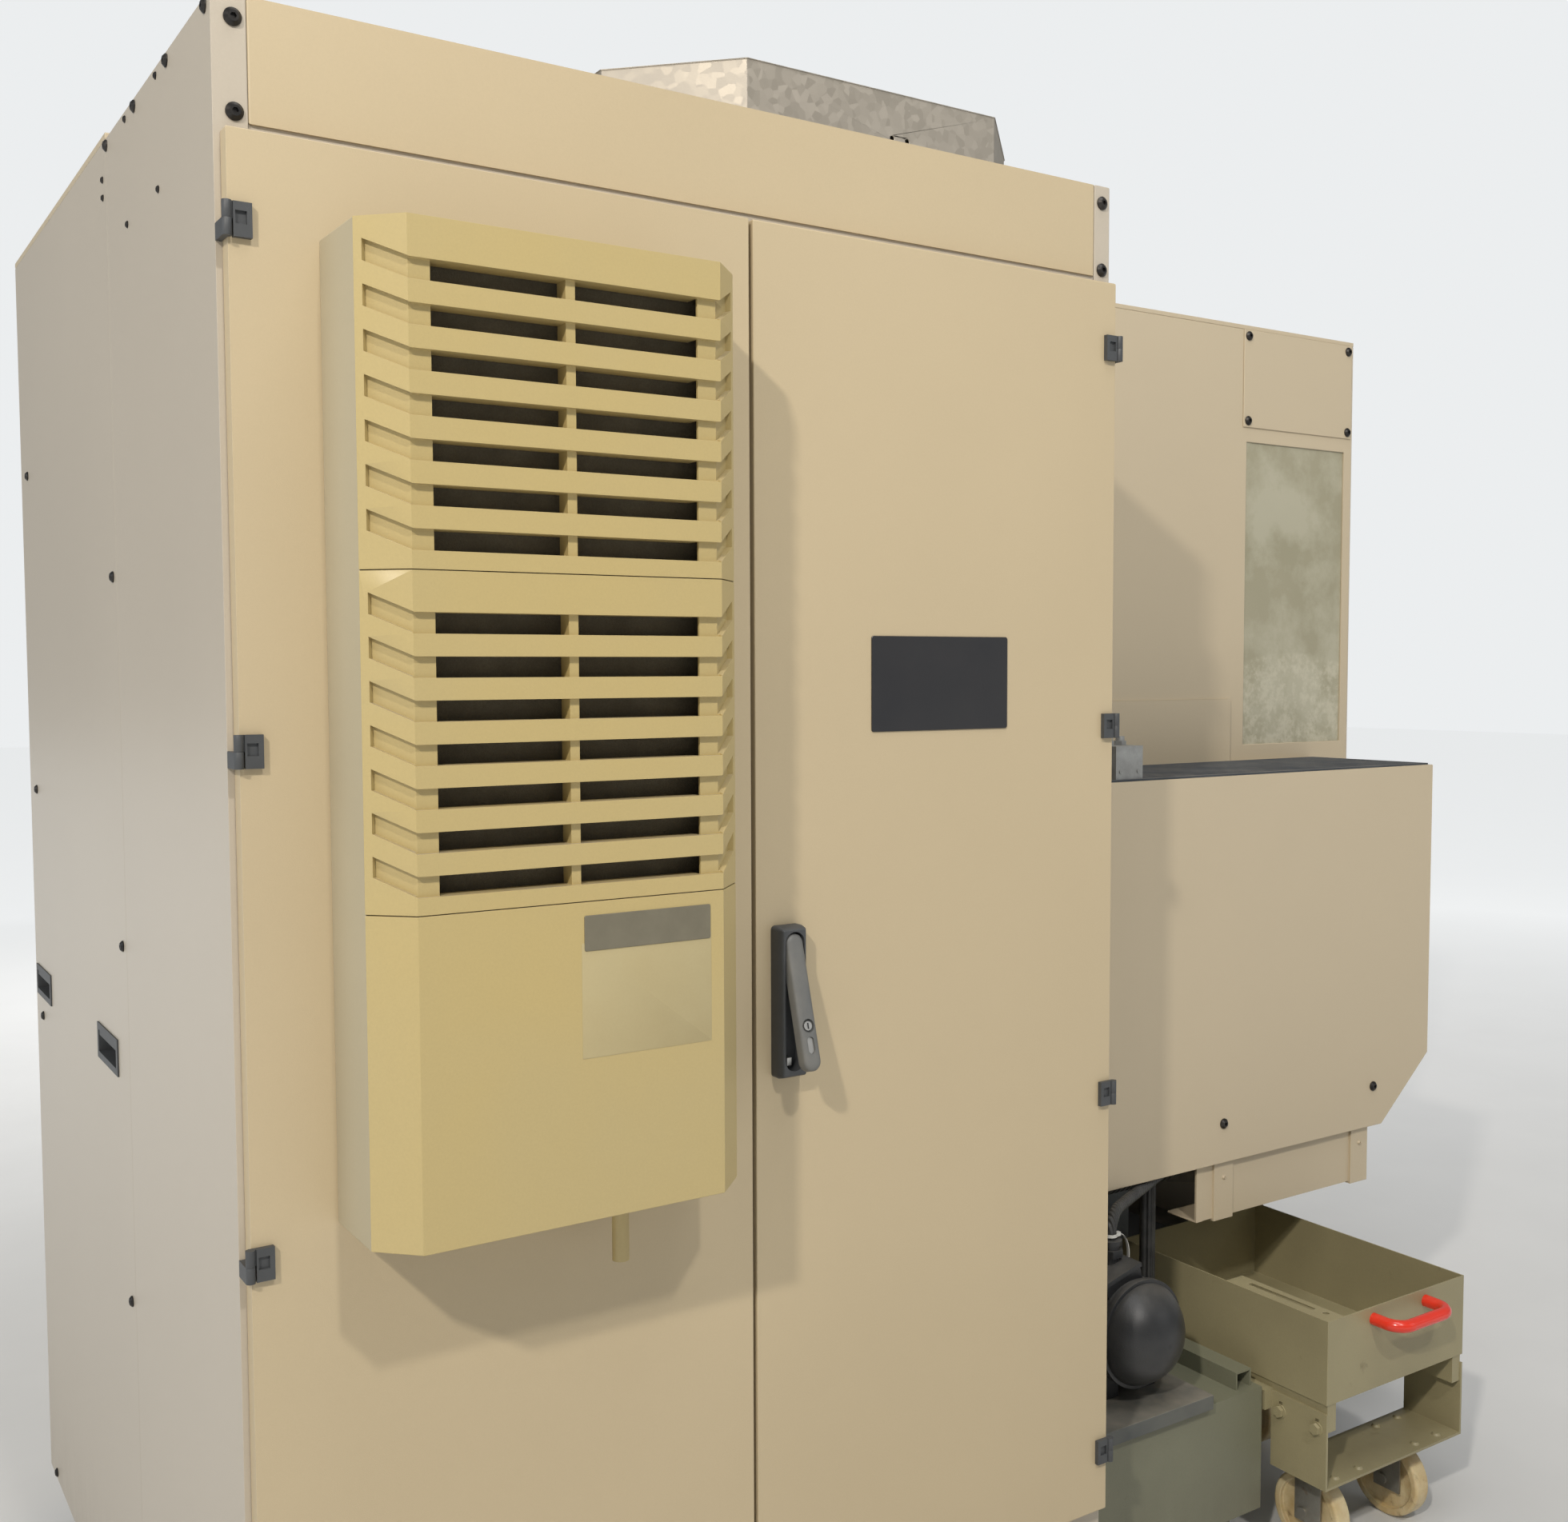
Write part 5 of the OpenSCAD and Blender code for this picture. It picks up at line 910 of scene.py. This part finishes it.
class MACHINING_OT_stage(bpy.types.Operator):
    """Pale floor, soft studio light and the camera"""

    bl_idname = "machining.stage"
    bl_label = "Stage, Light and Camera"

    def execute(self, context):
        self.floor(context.scene)
        self.world(context.scene)
        self.lamp("Key light", (4.7, 4.0, 4.8), CABINET_REAR,
                  size=0.22, watts=212, tint=(1.0, 0.94, 0.86))
        self.lamp("Second key light", (1.0, 4.3, 4.7), CABINET_REAR,
                  size=0.22, watts=80, tint=(1.0, 0.97, 0.92))
        self.lamp("Left side light", (5.2, -0.4, 2.9), (1.0, 0.1, 1.1),
                  size=2.4, watts=40, tint=(0.86, 0.93, 1.0))
        self.lamp("Top light", (0.2, 1.9, 5.2), (0.0, 0.9, 1.0),
                  size=2.0, watts=55, tint=(0.97, 0.98, 1.0))
        self.lamp("Hall light", (-3.4, 4.4, 3.0), (-0.5, 0.6, 0.8),
                  size=2.6, watts=14, tint=(0.95, 0.97, 1.0))
        self.lamp("Front light", (-1.5, -4.8, 3.4), (0, -0.5, 1.2),
                  size=3.0, watts=150, tint=(1.0, 0.98, 0.96))
        self.camera(context.scene)
        context.scene.view_settings.view_transform = "Standard"
        return {"FINISHED"}

    def floor(self, scene):
        """A floor that glows paler with its distance, so that it meets the background."""
        bm = bmesh.new()
        bmesh.ops.create_grid(bm, x_segments=1, y_segments=1, size=FLOOR_REACH)
        mesh = mesh_of("floor", bm)
        floor = bpy.data.objects.new("floor", mesh)
        scene.collection.objects.link(floor)
        finish = Finish("Pale studio floor", FLOOR_DARK_TONE, 0.7)
        clouds = finish.noise(3.0, detail=4.0, rough=0.6)
        finish.color = finish.mix(clouds, FLOOR_DARK_TONE, FLOOR_LIGHT_TONE)
        reach = finish.add("ShaderNodeVectorMath")
        reach.operation = "LENGTH"
        finish.set(reach.inputs[0], finish.here())
        far = finish.ramp(reach.outputs["Value"], *FLOOR_FADE)
        finish.set(finish.shader.inputs["Emission Color"], PALE)
        finish.set(finish.shader.inputs["Emission Strength"], finish.math("MULTIPLY", far, FAR_GLOW))
        mesh.materials.append(finish.done())

    def world(self, scene):
        """Light from all round, brighter where the camera or a clear pane sees it."""
        scene.world = bpy.data.worlds.new("Studio")
        scene.world.use_nodes = True
        wires = Wires(scene.world.node_tree)
        background = wires.tree.nodes["Background"]
        paths = wires.add("ShaderNodeLightPath").outputs
        seen = wires.math("MAXIMUM", paths["Is Camera Ray"], paths["Is Transmission Ray"])
        glow = wires.math("ADD", wires.math("MULTIPLY", seen, BACKGROUND_GLOW), ROOM_LIGHT)
        wires.set(background.inputs["Color"], PALE)
        wires.set(background.inputs["Strength"], glow)

    def lamp(self, label, place, aim, size, watts, tint):
        """A square lamp that looks from its place to its aim."""
        light = bpy.data.lights.new(label, "AREA")
        light.shape = "SQUARE"
        light.size = size
        light.energy = watts
        light.color = tint
        lamp = bpy.data.objects.new(label, light)
        lamp.location = place
        lamp.rotation_euler = (Vector(aim) - Vector(place)).to_track_quat("-Z", "Y").to_euler()
        bpy.context.scene.collection.objects.link(lamp)

    def camera(self, scene):
        """The photograph's camera, at the rear left of the machine."""
        level = math.cos(CAMERA_PITCH)
        aside, back = math.sin(CAMERA_YAW), math.cos(CAMERA_YAW)
        ahead = Vector((-aside * level, -back * level, -math.sin(CAMERA_PITCH)))
        right = Vector((-back, aside, 0))
        up = right.cross(ahead)
        cosine, sine = math.cos(CAMERA_ROLL), math.sin(CAMERA_ROLL)
        right, up = right * cosine + up * sine, up * cosine - right * sine
        data = bpy.data.cameras.new("Camera")
        data.sensor_fit = "HORIZONTAL"
        data.sensor_width = SENSOR_WIDTH
        data.lens = FOCAL_PIXELS * SENSOR_WIDTH / PHOTO_WIDTH
        data.clip_start = NEAREST_SEEN
        camera = bpy.data.objects.new("Camera", data)
        turn = Matrix((right, up, -ahead)).transposed().to_4x4()
        camera.matrix_world = Matrix.Translation(CAMERA_PLACE) @ turn
        scene.collection.objects.link(camera)
        scene.camera = camera


class MACHINING_OT_sheet_metal(bpy.types.Operator):
    """Finishes of the panels, doors, roof cover, windows, flush handles and screws"""

    bl_idname = "machining.sheet_metal"
    bl_label = "Panels and Doors"

    def execute(self, context):
        edges = context.scene.edge_roundings
        dress("panel", "rear_wall", "low_cover", "access_plate", "block_housing", "chute_guard",
              "roof_panel", "front_panels", edge=edges.panel)
        dress("door", "left_door", "right_door", "cabinet_fascia", "operator_door",
              edge=edges.door, segments=3)
        dress("side", "side_panels", "cabinet_shell", edge=edges.side)
        dress("zinc", "roof_cover", edge=edges.panel)
        dress("zinc", "chip_trough", "mounting_plate")
        dress("hinge", "flush_handles")
        dress("screw", "panel_screws")
        dress("clouded", "rear_window")
        dress("pane", "door_window")
        return {"FINISHED"}


class MACHINING_OT_cooling_unit(bpy.types.Operator):
    """Finishes of the cooling unit on the left door, with its mats, plate and label"""

    bl_idname = "machining.cooling_unit"
    bl_label = "Cooling Unit"

    def execute(self, context):
        edges = context.scene.edge_roundings
        dress("unit", "cooling_housing", edge=edges.cooler)
        dress("cover", "upper_grille", "middle_grille", "lower_cover", edge=edges.cover)
        dress("cover", "drain_tube")
        dress("fins", "condenser")
        dress("fan", "condenser_fan")
        for node in ("upper_grille", "middle_grille"):
            self.filter_mat(node, context.scene.fitting_sizes)
        self.type_plate(context.scene.plate_sizes)
        self.blank_label(context.scene.plate_sizes)
        return {"FINISHED"}

    def filter_mat(self, node, sizes):
        """A dusty mat that shows through the slots of a cover."""
        low, high = corners(node)
        front = high.y - sizes.mat_gap
        bm = bmesh.new()
        block(bm, (low.x + sizes.mat_side, front - sizes.mat_thickness, low.z + sizes.mat_end),
              (high.x - sizes.mat_side, front, high.z - sizes.mat_end))
        mesh = mesh_of("filter mat", bm)
        piece("filter_mat_behind_" + node, mesh, "left_cabinet_door", "filter", smooth=0)

    def type_plate(self, sizes):
        """A metal plate without any lettering."""
        low, high = corners("lower_cover")
        place = on_rear(low.x + sizes.type_in, high.y - LABEL_SET_IN, low.z + sizes.type_rise)
        bm = bmesh.new()
        slab(bm, place, sizes.type_width, sizes.type_height, TYPE_CORNER, TYPE_PROFILE)
        mesh = mesh_of("bare type plate", bm)
        piece("bare_type_plate", mesh, "left_cabinet_door", "dull")

    def blank_label(self, sizes):
        """A paper label without any print."""
        low, high = corners("lower_cover")
        place = on_rear(low.x + sizes.label_in, high.y - LABEL_SET_IN, low.z + sizes.label_rise)
        bm = bmesh.new()
        slab(bm, place, sizes.label_width, sizes.label_height, LABEL_CORNER, LABEL_PROFILE)
        piece("blank_label", mesh_of("blank label", bm), "left_cabinet_door", "label")


class MACHINING_OT_door_fittings(bpy.types.Operator):
    """Hinges and the lever of the cabinet doors, with the bare plate"""

    bl_idname = "machining.door_fittings"
    bl_label = "Hinges, Lever and Plate"

    def execute(self, context):
        dress("hinge", "hinge_fixed_halves", "left_hinge_halves", "right_hinge_halves",
              edge=context.scene.edge_roundings.hinge)
        sizes = context.scene.lever_sizes
        low, high = corners("lever_housing")
        pivot = Vector(((low.x + high.x) / 2, high.y - sizes.pivot_depth, high.z - sizes.pivot_drop))
        self.lever_shell(sizes, low, high)
        self.pin_and_latch(pivot, low, high)
        face = Matrix.Translation(pivot) @ Matrix.Rotation(sizes.tilt, 4, "X") @ REAR_FACING
        self.lever_grip(sizes, face)
        self.lock(sizes, face)
        self.lock_barrel(sizes, face)
        self.door_plate(context.scene.plate_sizes)
        return {"FINISHED"}

    def lever_shell(self, sizes, low, high):
        """The housing on the door, with the pocket that the lever folds into."""
        width, depth, height = high - low
        middle_x = (low.x + high.x) / 2
        bm = bmesh.new()
        flanks = [(depth * rise, sizes.slope * lean) for rise, lean in HOUSING_PROFILE]
        place = on_rear(middle_x, low.y, (low.z + high.z) / 2)
        slab(bm, place, width, height, sizes.corner, flanks, steps=8)
        shell = mesh_of("lever shell", bm)
        bm = bmesh.new()
        foot, head = low.z + POCKET_FOOT, high.z - POCKET_HEAD
        place = on_rear(middle_x, low.y + POCKET_FLOOR, (foot + head) / 2)
        slab(bm, place, sizes.pocket, head - foot, sizes.pocket / 2 - END_CLEARANCE,
             ((0, POCKET_ROUND), (POCKET_ROUND_HEIGHT, 0), (depth, 0)), steps=10)
        mesh = carved(shell, mesh_of("pocket", bm))
        housing = piece("lever_shell", mesh, "right_cabinet_door", "hinge")
        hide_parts("lever_housing")

    def pin_and_latch(self, pivot, low, high):
        """The pin that the lever turns on, and the latch that holds it when it is folded in."""
        bm = bmesh.new()
        rod(bm, (low.x + PIN_RADIUS, pivot.y, pivot.z), (high.x - PIN_RADIUS, pivot.y, pivot.z), PIN_RADIUS)
        block(bm, (pivot.x - LATCH_HALF_WIDTH, low.y + LATCH_DEPTHS[0], low.z + LATCH_HEIGHTS[0]),
              (pivot.x + LATCH_HALF_WIDTH, low.y + LATCH_DEPTHS[1], low.z + LATCH_HEIGHTS[1]))
        mesh = mesh_of("lever pin and latch", bm)
        piece("lever_pin_and_latch", mesh, "right_cabinet_door", "bright")

    def lever_grip(self, sizes, face):
        """The lever itself, in its released place, with recesses for the lock and the slot."""
        middle = face @ Matrix.Translation((0, -(sizes.reach - sizes.width / 2) / 2, 0))
        bm = bmesh.new()
        slab(bm, middle, sizes.width, sizes.reach + sizes.width / 2, sizes.width / 2 - GRIP_END_CLEARANCE,
             GRIP_PROFILE, steps=12)
        grip = mesh_of("lever grip", bm)
        bm = bmesh.new()
        floor = face @ Vector((0, -sizes.lock_at, RECESS_FLOOR))
        rod(bm, floor, face @ Vector((0, -sizes.lock_at, RECESS_CLEAR)), sizes.lock_radius, sides=40)
        lock = mesh_of("lock recess", bm)
        bm = bmesh.new()
        place = face @ Matrix.Translation((0, -sizes.slot_at, SLOT_FLOOR))
        slab(bm, place, *SLOT_SIZE, SLOT_CORNER, ((0, 0), (RECESS_CLEAR, 0)))
        slot = mesh_of("slot recess", bm)
        mesh = carved(grip, lock, slot)
        lever = piece("lever_grip", mesh, "door_lever", "grip", smooth=28)
        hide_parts("lever")

    def lock(self, sizes, face):
        """The lock's core, a thin black block on its tip painted as the shade in the slit for the key, and
        the inlay of the slot.
        """
        bm = bmesh.new()
        foot, tip = (face @ Vector((0, -sizes.lock_at, height)) for height in CORE_HEIGHTS)
        rod(bm, foot, tip, CORE_RADIUS, sides=32)
        place = face @ Matrix.Translation((0, -sizes.slot_at, INLAY_FLOOR))
        slab(bm, place, *INLAY_SIZE, INLAY_CORNER, ((0, 0), (INLAY_THICKNESS, 0)))
        piece("lock_core", mesh_of("lock core", bm), "door_lever", "bright")
        # Painted shade: a thin black block on the core's tip stands for the dark inside of the slit for the
        # key
        bm = bmesh.new()
        half_width, half_height = KEY_SLIT_SHADE_HALF
        block(bm, (-half_width, -half_height, 0), (half_width, half_height, KEY_SLIT_SHADE_HEIGHT))
        bm.transform(face @ Matrix.Translation((0, -sizes.lock_at, CORE_HEIGHTS[1])))
        piece("key_slit_painted_shade", mesh_of("key slit painted shade", bm), "door_lever", "motor", smooth=0)

    def lock_barrel(self, sizes, face):
        """The lock's housing on the back of the lever."""
        bm = bmesh.new()
        place = face @ Matrix.Translation((0, -sizes.lock_at - BARREL_DROP, -BARREL_DEPTH))
        slab(bm, place, *BARREL_SIZE, BARREL_CORNER, BARREL_PROFILE)
        piece("lock_barrel", mesh_of("lock barrel", bm), "door_lever", "hinge")

    def door_plate(self, sizes):
        """The bare dark plate on the right door."""
        low, high = corners("right_door")
        place = on_rear(low.x + sizes.place_in, high.y - PLATE_SET_IN, low.z + sizes.rise)
        bm = bmesh.new()
        slab(bm, place, sizes.width, sizes.height, sizes.corner, DOOR_PLATE_PROFILE)
        mesh = mesh_of("bare door plate", bm)
        piece("bare_door_plate", mesh, "right_cabinet_door", "plate")


class MACHINING_OT_coolant_group(bpy.types.Operator):
    """Coolant tank, pump, hoses and cable tie, with the box and the mat of the block housing"""

    bl_idname = "machining.coolant_group"
    bl_label = "Tank and Pump"

    def execute(self, context):
        edges = context.scene.edge_roundings
        dress("tank", "coolant_tank", edge=edges.tank)
        dress("lid", "tank_lid", edge=edges.tank)
        dress("motor", "pump_motor", edge=edges.motor, segments=3)
        dress("hose", "pump_pipework")
        dress("alloy", "junction_box", edge=edges.motor)
        dress("mat", "block_mat")
        self.cable_tie(context.scene.fitting_sizes)
        return {"FINISHED"}

    def cable_tie(self, sizes):
        """A loop round the cable above the gland, with its head and a tail that curls down."""
        thickness = sizes.tie_thickness
        half_width = sizes.tie_width / 2
        radius = CABLE_RADIUS + thickness / 2
        gland = corners("pump_motor")[1] + GLAND_FROM_MOTOR
        bm = bmesh.new()
        rings = []
        for k in range(TIE_STEPS):
            turn = math.tau * k / TIE_STEPS
            out = Vector((math.cos(turn), math.sin(turn), 0))
            middle = gland + out * radius
            below, above = middle - Vector((0, 0, half_width)), middle + Vector((0, 0, half_width))
            rings.append([below, below + out * thickness, above + out * thickness, above])
        loft(bm, rings + [rings[0]], caps=False)
        start = gland + Vector((-radius, TAIL_DRIFT, 0))
        block(bm, start - TIE_HEAD, start + TIE_HEAD_INNER)
        self.tail(bm, start, thickness, half_width)
        piece("cable_tie", mesh_of("cable tie", bm), "machine", "tie")

    def tail(self, bm, start, thickness, half_width):
        """The tie's free end: an arc that leaves the head level and turns down."""
        across = Vector((0, half_width, 0))
        rings = []
        for k in range(TAIL_STEPS + 1):
            turn = math.radians(TAIL_SWEEP * k / TAIL_STEPS)
            sine, cosine = math.sin(turn), math.cos(turn)
            place = start + Vector((-TAIL_START - TAIL_RADIUS * sine, TAIL_DRIFT * sine,
                                    TAIL_RADIUS * (cosine - 1) * TAIL_DROOP))
            out = Vector((-cosine, 0, sine)).cross(Vector((0, 1, 0))).normalized() * thickness / 2
            rings.append([place - across - out, place + across - out,
                          place + across + out, place - across + out])
        loft(bm, rings)


class MACHINING_OT_chip_cart(bpy.types.Operator):
    """Rolling chip cart with its handle and castors"""

    bl_idname = "machining.chip_cart"
    bl_label = "Chip Cart"

    def execute(self, context):
        edges = context.scene.edge_roundings
        dress("cart", "cart_tray", edge=edges.tray)
        dress("cart", "cart_chassis", edge=edges.chassis)
        dress("red", "cart_handle")
        dress("fork", "swivel_fork_near", "swivel_fork_far", edge=edges.chassis)
        dress("nylon", "wheel_front_near", "wheel_front_far", "wheel_rear_near", "wheel_rear_far",
              edge=edges.wheel, segments=3)
        return {"FINISHED"}


class MACHINING_OT_inside(bpy.types.Operator):
    """Base frame, feet, castings, spindle, table, magazine disc and switchgear"""

    bl_idname = "machining.inside"
    bl_label = "Frame and Inside"

    def execute(self, context):
        edges = context.scene.edge_roundings
        dress("casting", "machine_bed", "bridge", "cradle", edge=edges.casting)
        dress("frame", "base_frame", edge=edges.frame)
        dress("foot", "levelling_feet")
        dress("steel", "saddle", "ram", "spindle", "rotary_table", "magazine_disc", edge=edges.steel)
        dress("module", "drive_modules", edge=edges.module)
        return {"FINISHED"}


class MACHINING_OT_console(bpy.types.Operator):
    """Control console with its screen, keys and stop button"""

    bl_idname = "machining.console"
    bl_label = "Console"

    def execute(self, context):
        edges = context.scene.edge_roundings
        dress("console", "console", edge=edges.console)
        dress("red", "stop_button", edge=edges.console)
        self.screen(context.scene.console_sizes)
        self.key_caps(context.scene.console_sizes)
        return {"FINISHED"}

    def screen(self, sizes):
        """The dark glass in the console's frame."""
        low, high = corners("console")
        front, back = (low.y + sizes.key_stand + depth for depth in SCREEN_DEPTHS)
        bm = bmesh.new()
        block(bm, (low.x + sizes.screen_side, front, low.z + sizes.screen_foot),
              (high.x - sizes.screen_side, back, low.z + sizes.height - sizes.screen_head))
        mesh = mesh_of("console screen", bm)
        piece("console_screen", mesh, "console_arm", "screen", smooth=0)

    def key_caps(self, sizes):
        """A cap on each of the console's keys."""
        low = corners("console")[0]
        first = low + Vector((sizes.first_key, KEY_GAP, sizes.first_key))
        bm = bmesh.new()
        for row in range(KEY_ROWS):
            for column in range(KEY_COLUMNS):
                step = Vector((column * sizes.key_across, 0, row * sizes.key_up))
                place = Matrix.Translation(first + step) @ FRONT_FACING
                slab(bm, place, sizes.key_size, sizes.key_size, sizes.key_corner, KEY_PROFILE,
                     steps=3)
        piece("console_key_caps", mesh_of("console key caps", bm), "console_arm", "key")


SETTINGS = {
    "paint_colours": PaintColours,
    "edge_roundings": EdgeRoundings,
    "lever_sizes": LeverSizes,
    "plate_sizes": PlateSizes,
    "fitting_sizes": FittingSizes,
    "console_sizes": ConsoleSizes,
}

STEPS = (
    MACHINING_OT_stage,
    MACHINING_OT_sheet_metal,
    MACHINING_OT_cooling_unit,
    MACHINING_OT_door_fittings,
    MACHINING_OT_coolant_group,
    MACHINING_OT_chip_cart,
    MACHINING_OT_inside,
    MACHINING_OT_console,
)


class MACHINING_PT_dressing(bpy.types.Panel):
    """Sidebar panel with every setting and operator"""

    bl_label = "Machining Center"
    bl_idname = "MACHINING_PT_dressing"
    bl_space_type = "VIEW_3D"
    bl_region_type = "UI"
    bl_category = "Machining Center"

    def draw(self, context):
        column = self.layout.column()
        for name, kind in SETTINGS.items():
            for key in kind.__annotations__:
                column.prop(getattr(context.scene, name), key)
        for step in STEPS:
            column.operator(step.bl_idname)


CLASSES = (*SETTINGS.values(), *STEPS, MACHINING_PT_dressing)


def register():
    for kind in CLASSES:
        bpy.utils.register_class(kind)
    for name, kind in SETTINGS.items():
        setattr(bpy.types.Scene, name, PointerProperty(type=kind))


def unregister():
    for name in SETTINGS:
        delattr(bpy.types.Scene, name)
    for kind in reversed(CLASSES):
        bpy.utils.unregister_class(kind)


def main():
    register()
    for step in STEPS:
        area, name = step.bl_idname.split(".")
        getattr(getattr(bpy.ops, area), name)()


if __name__ == "__main__":
    main()
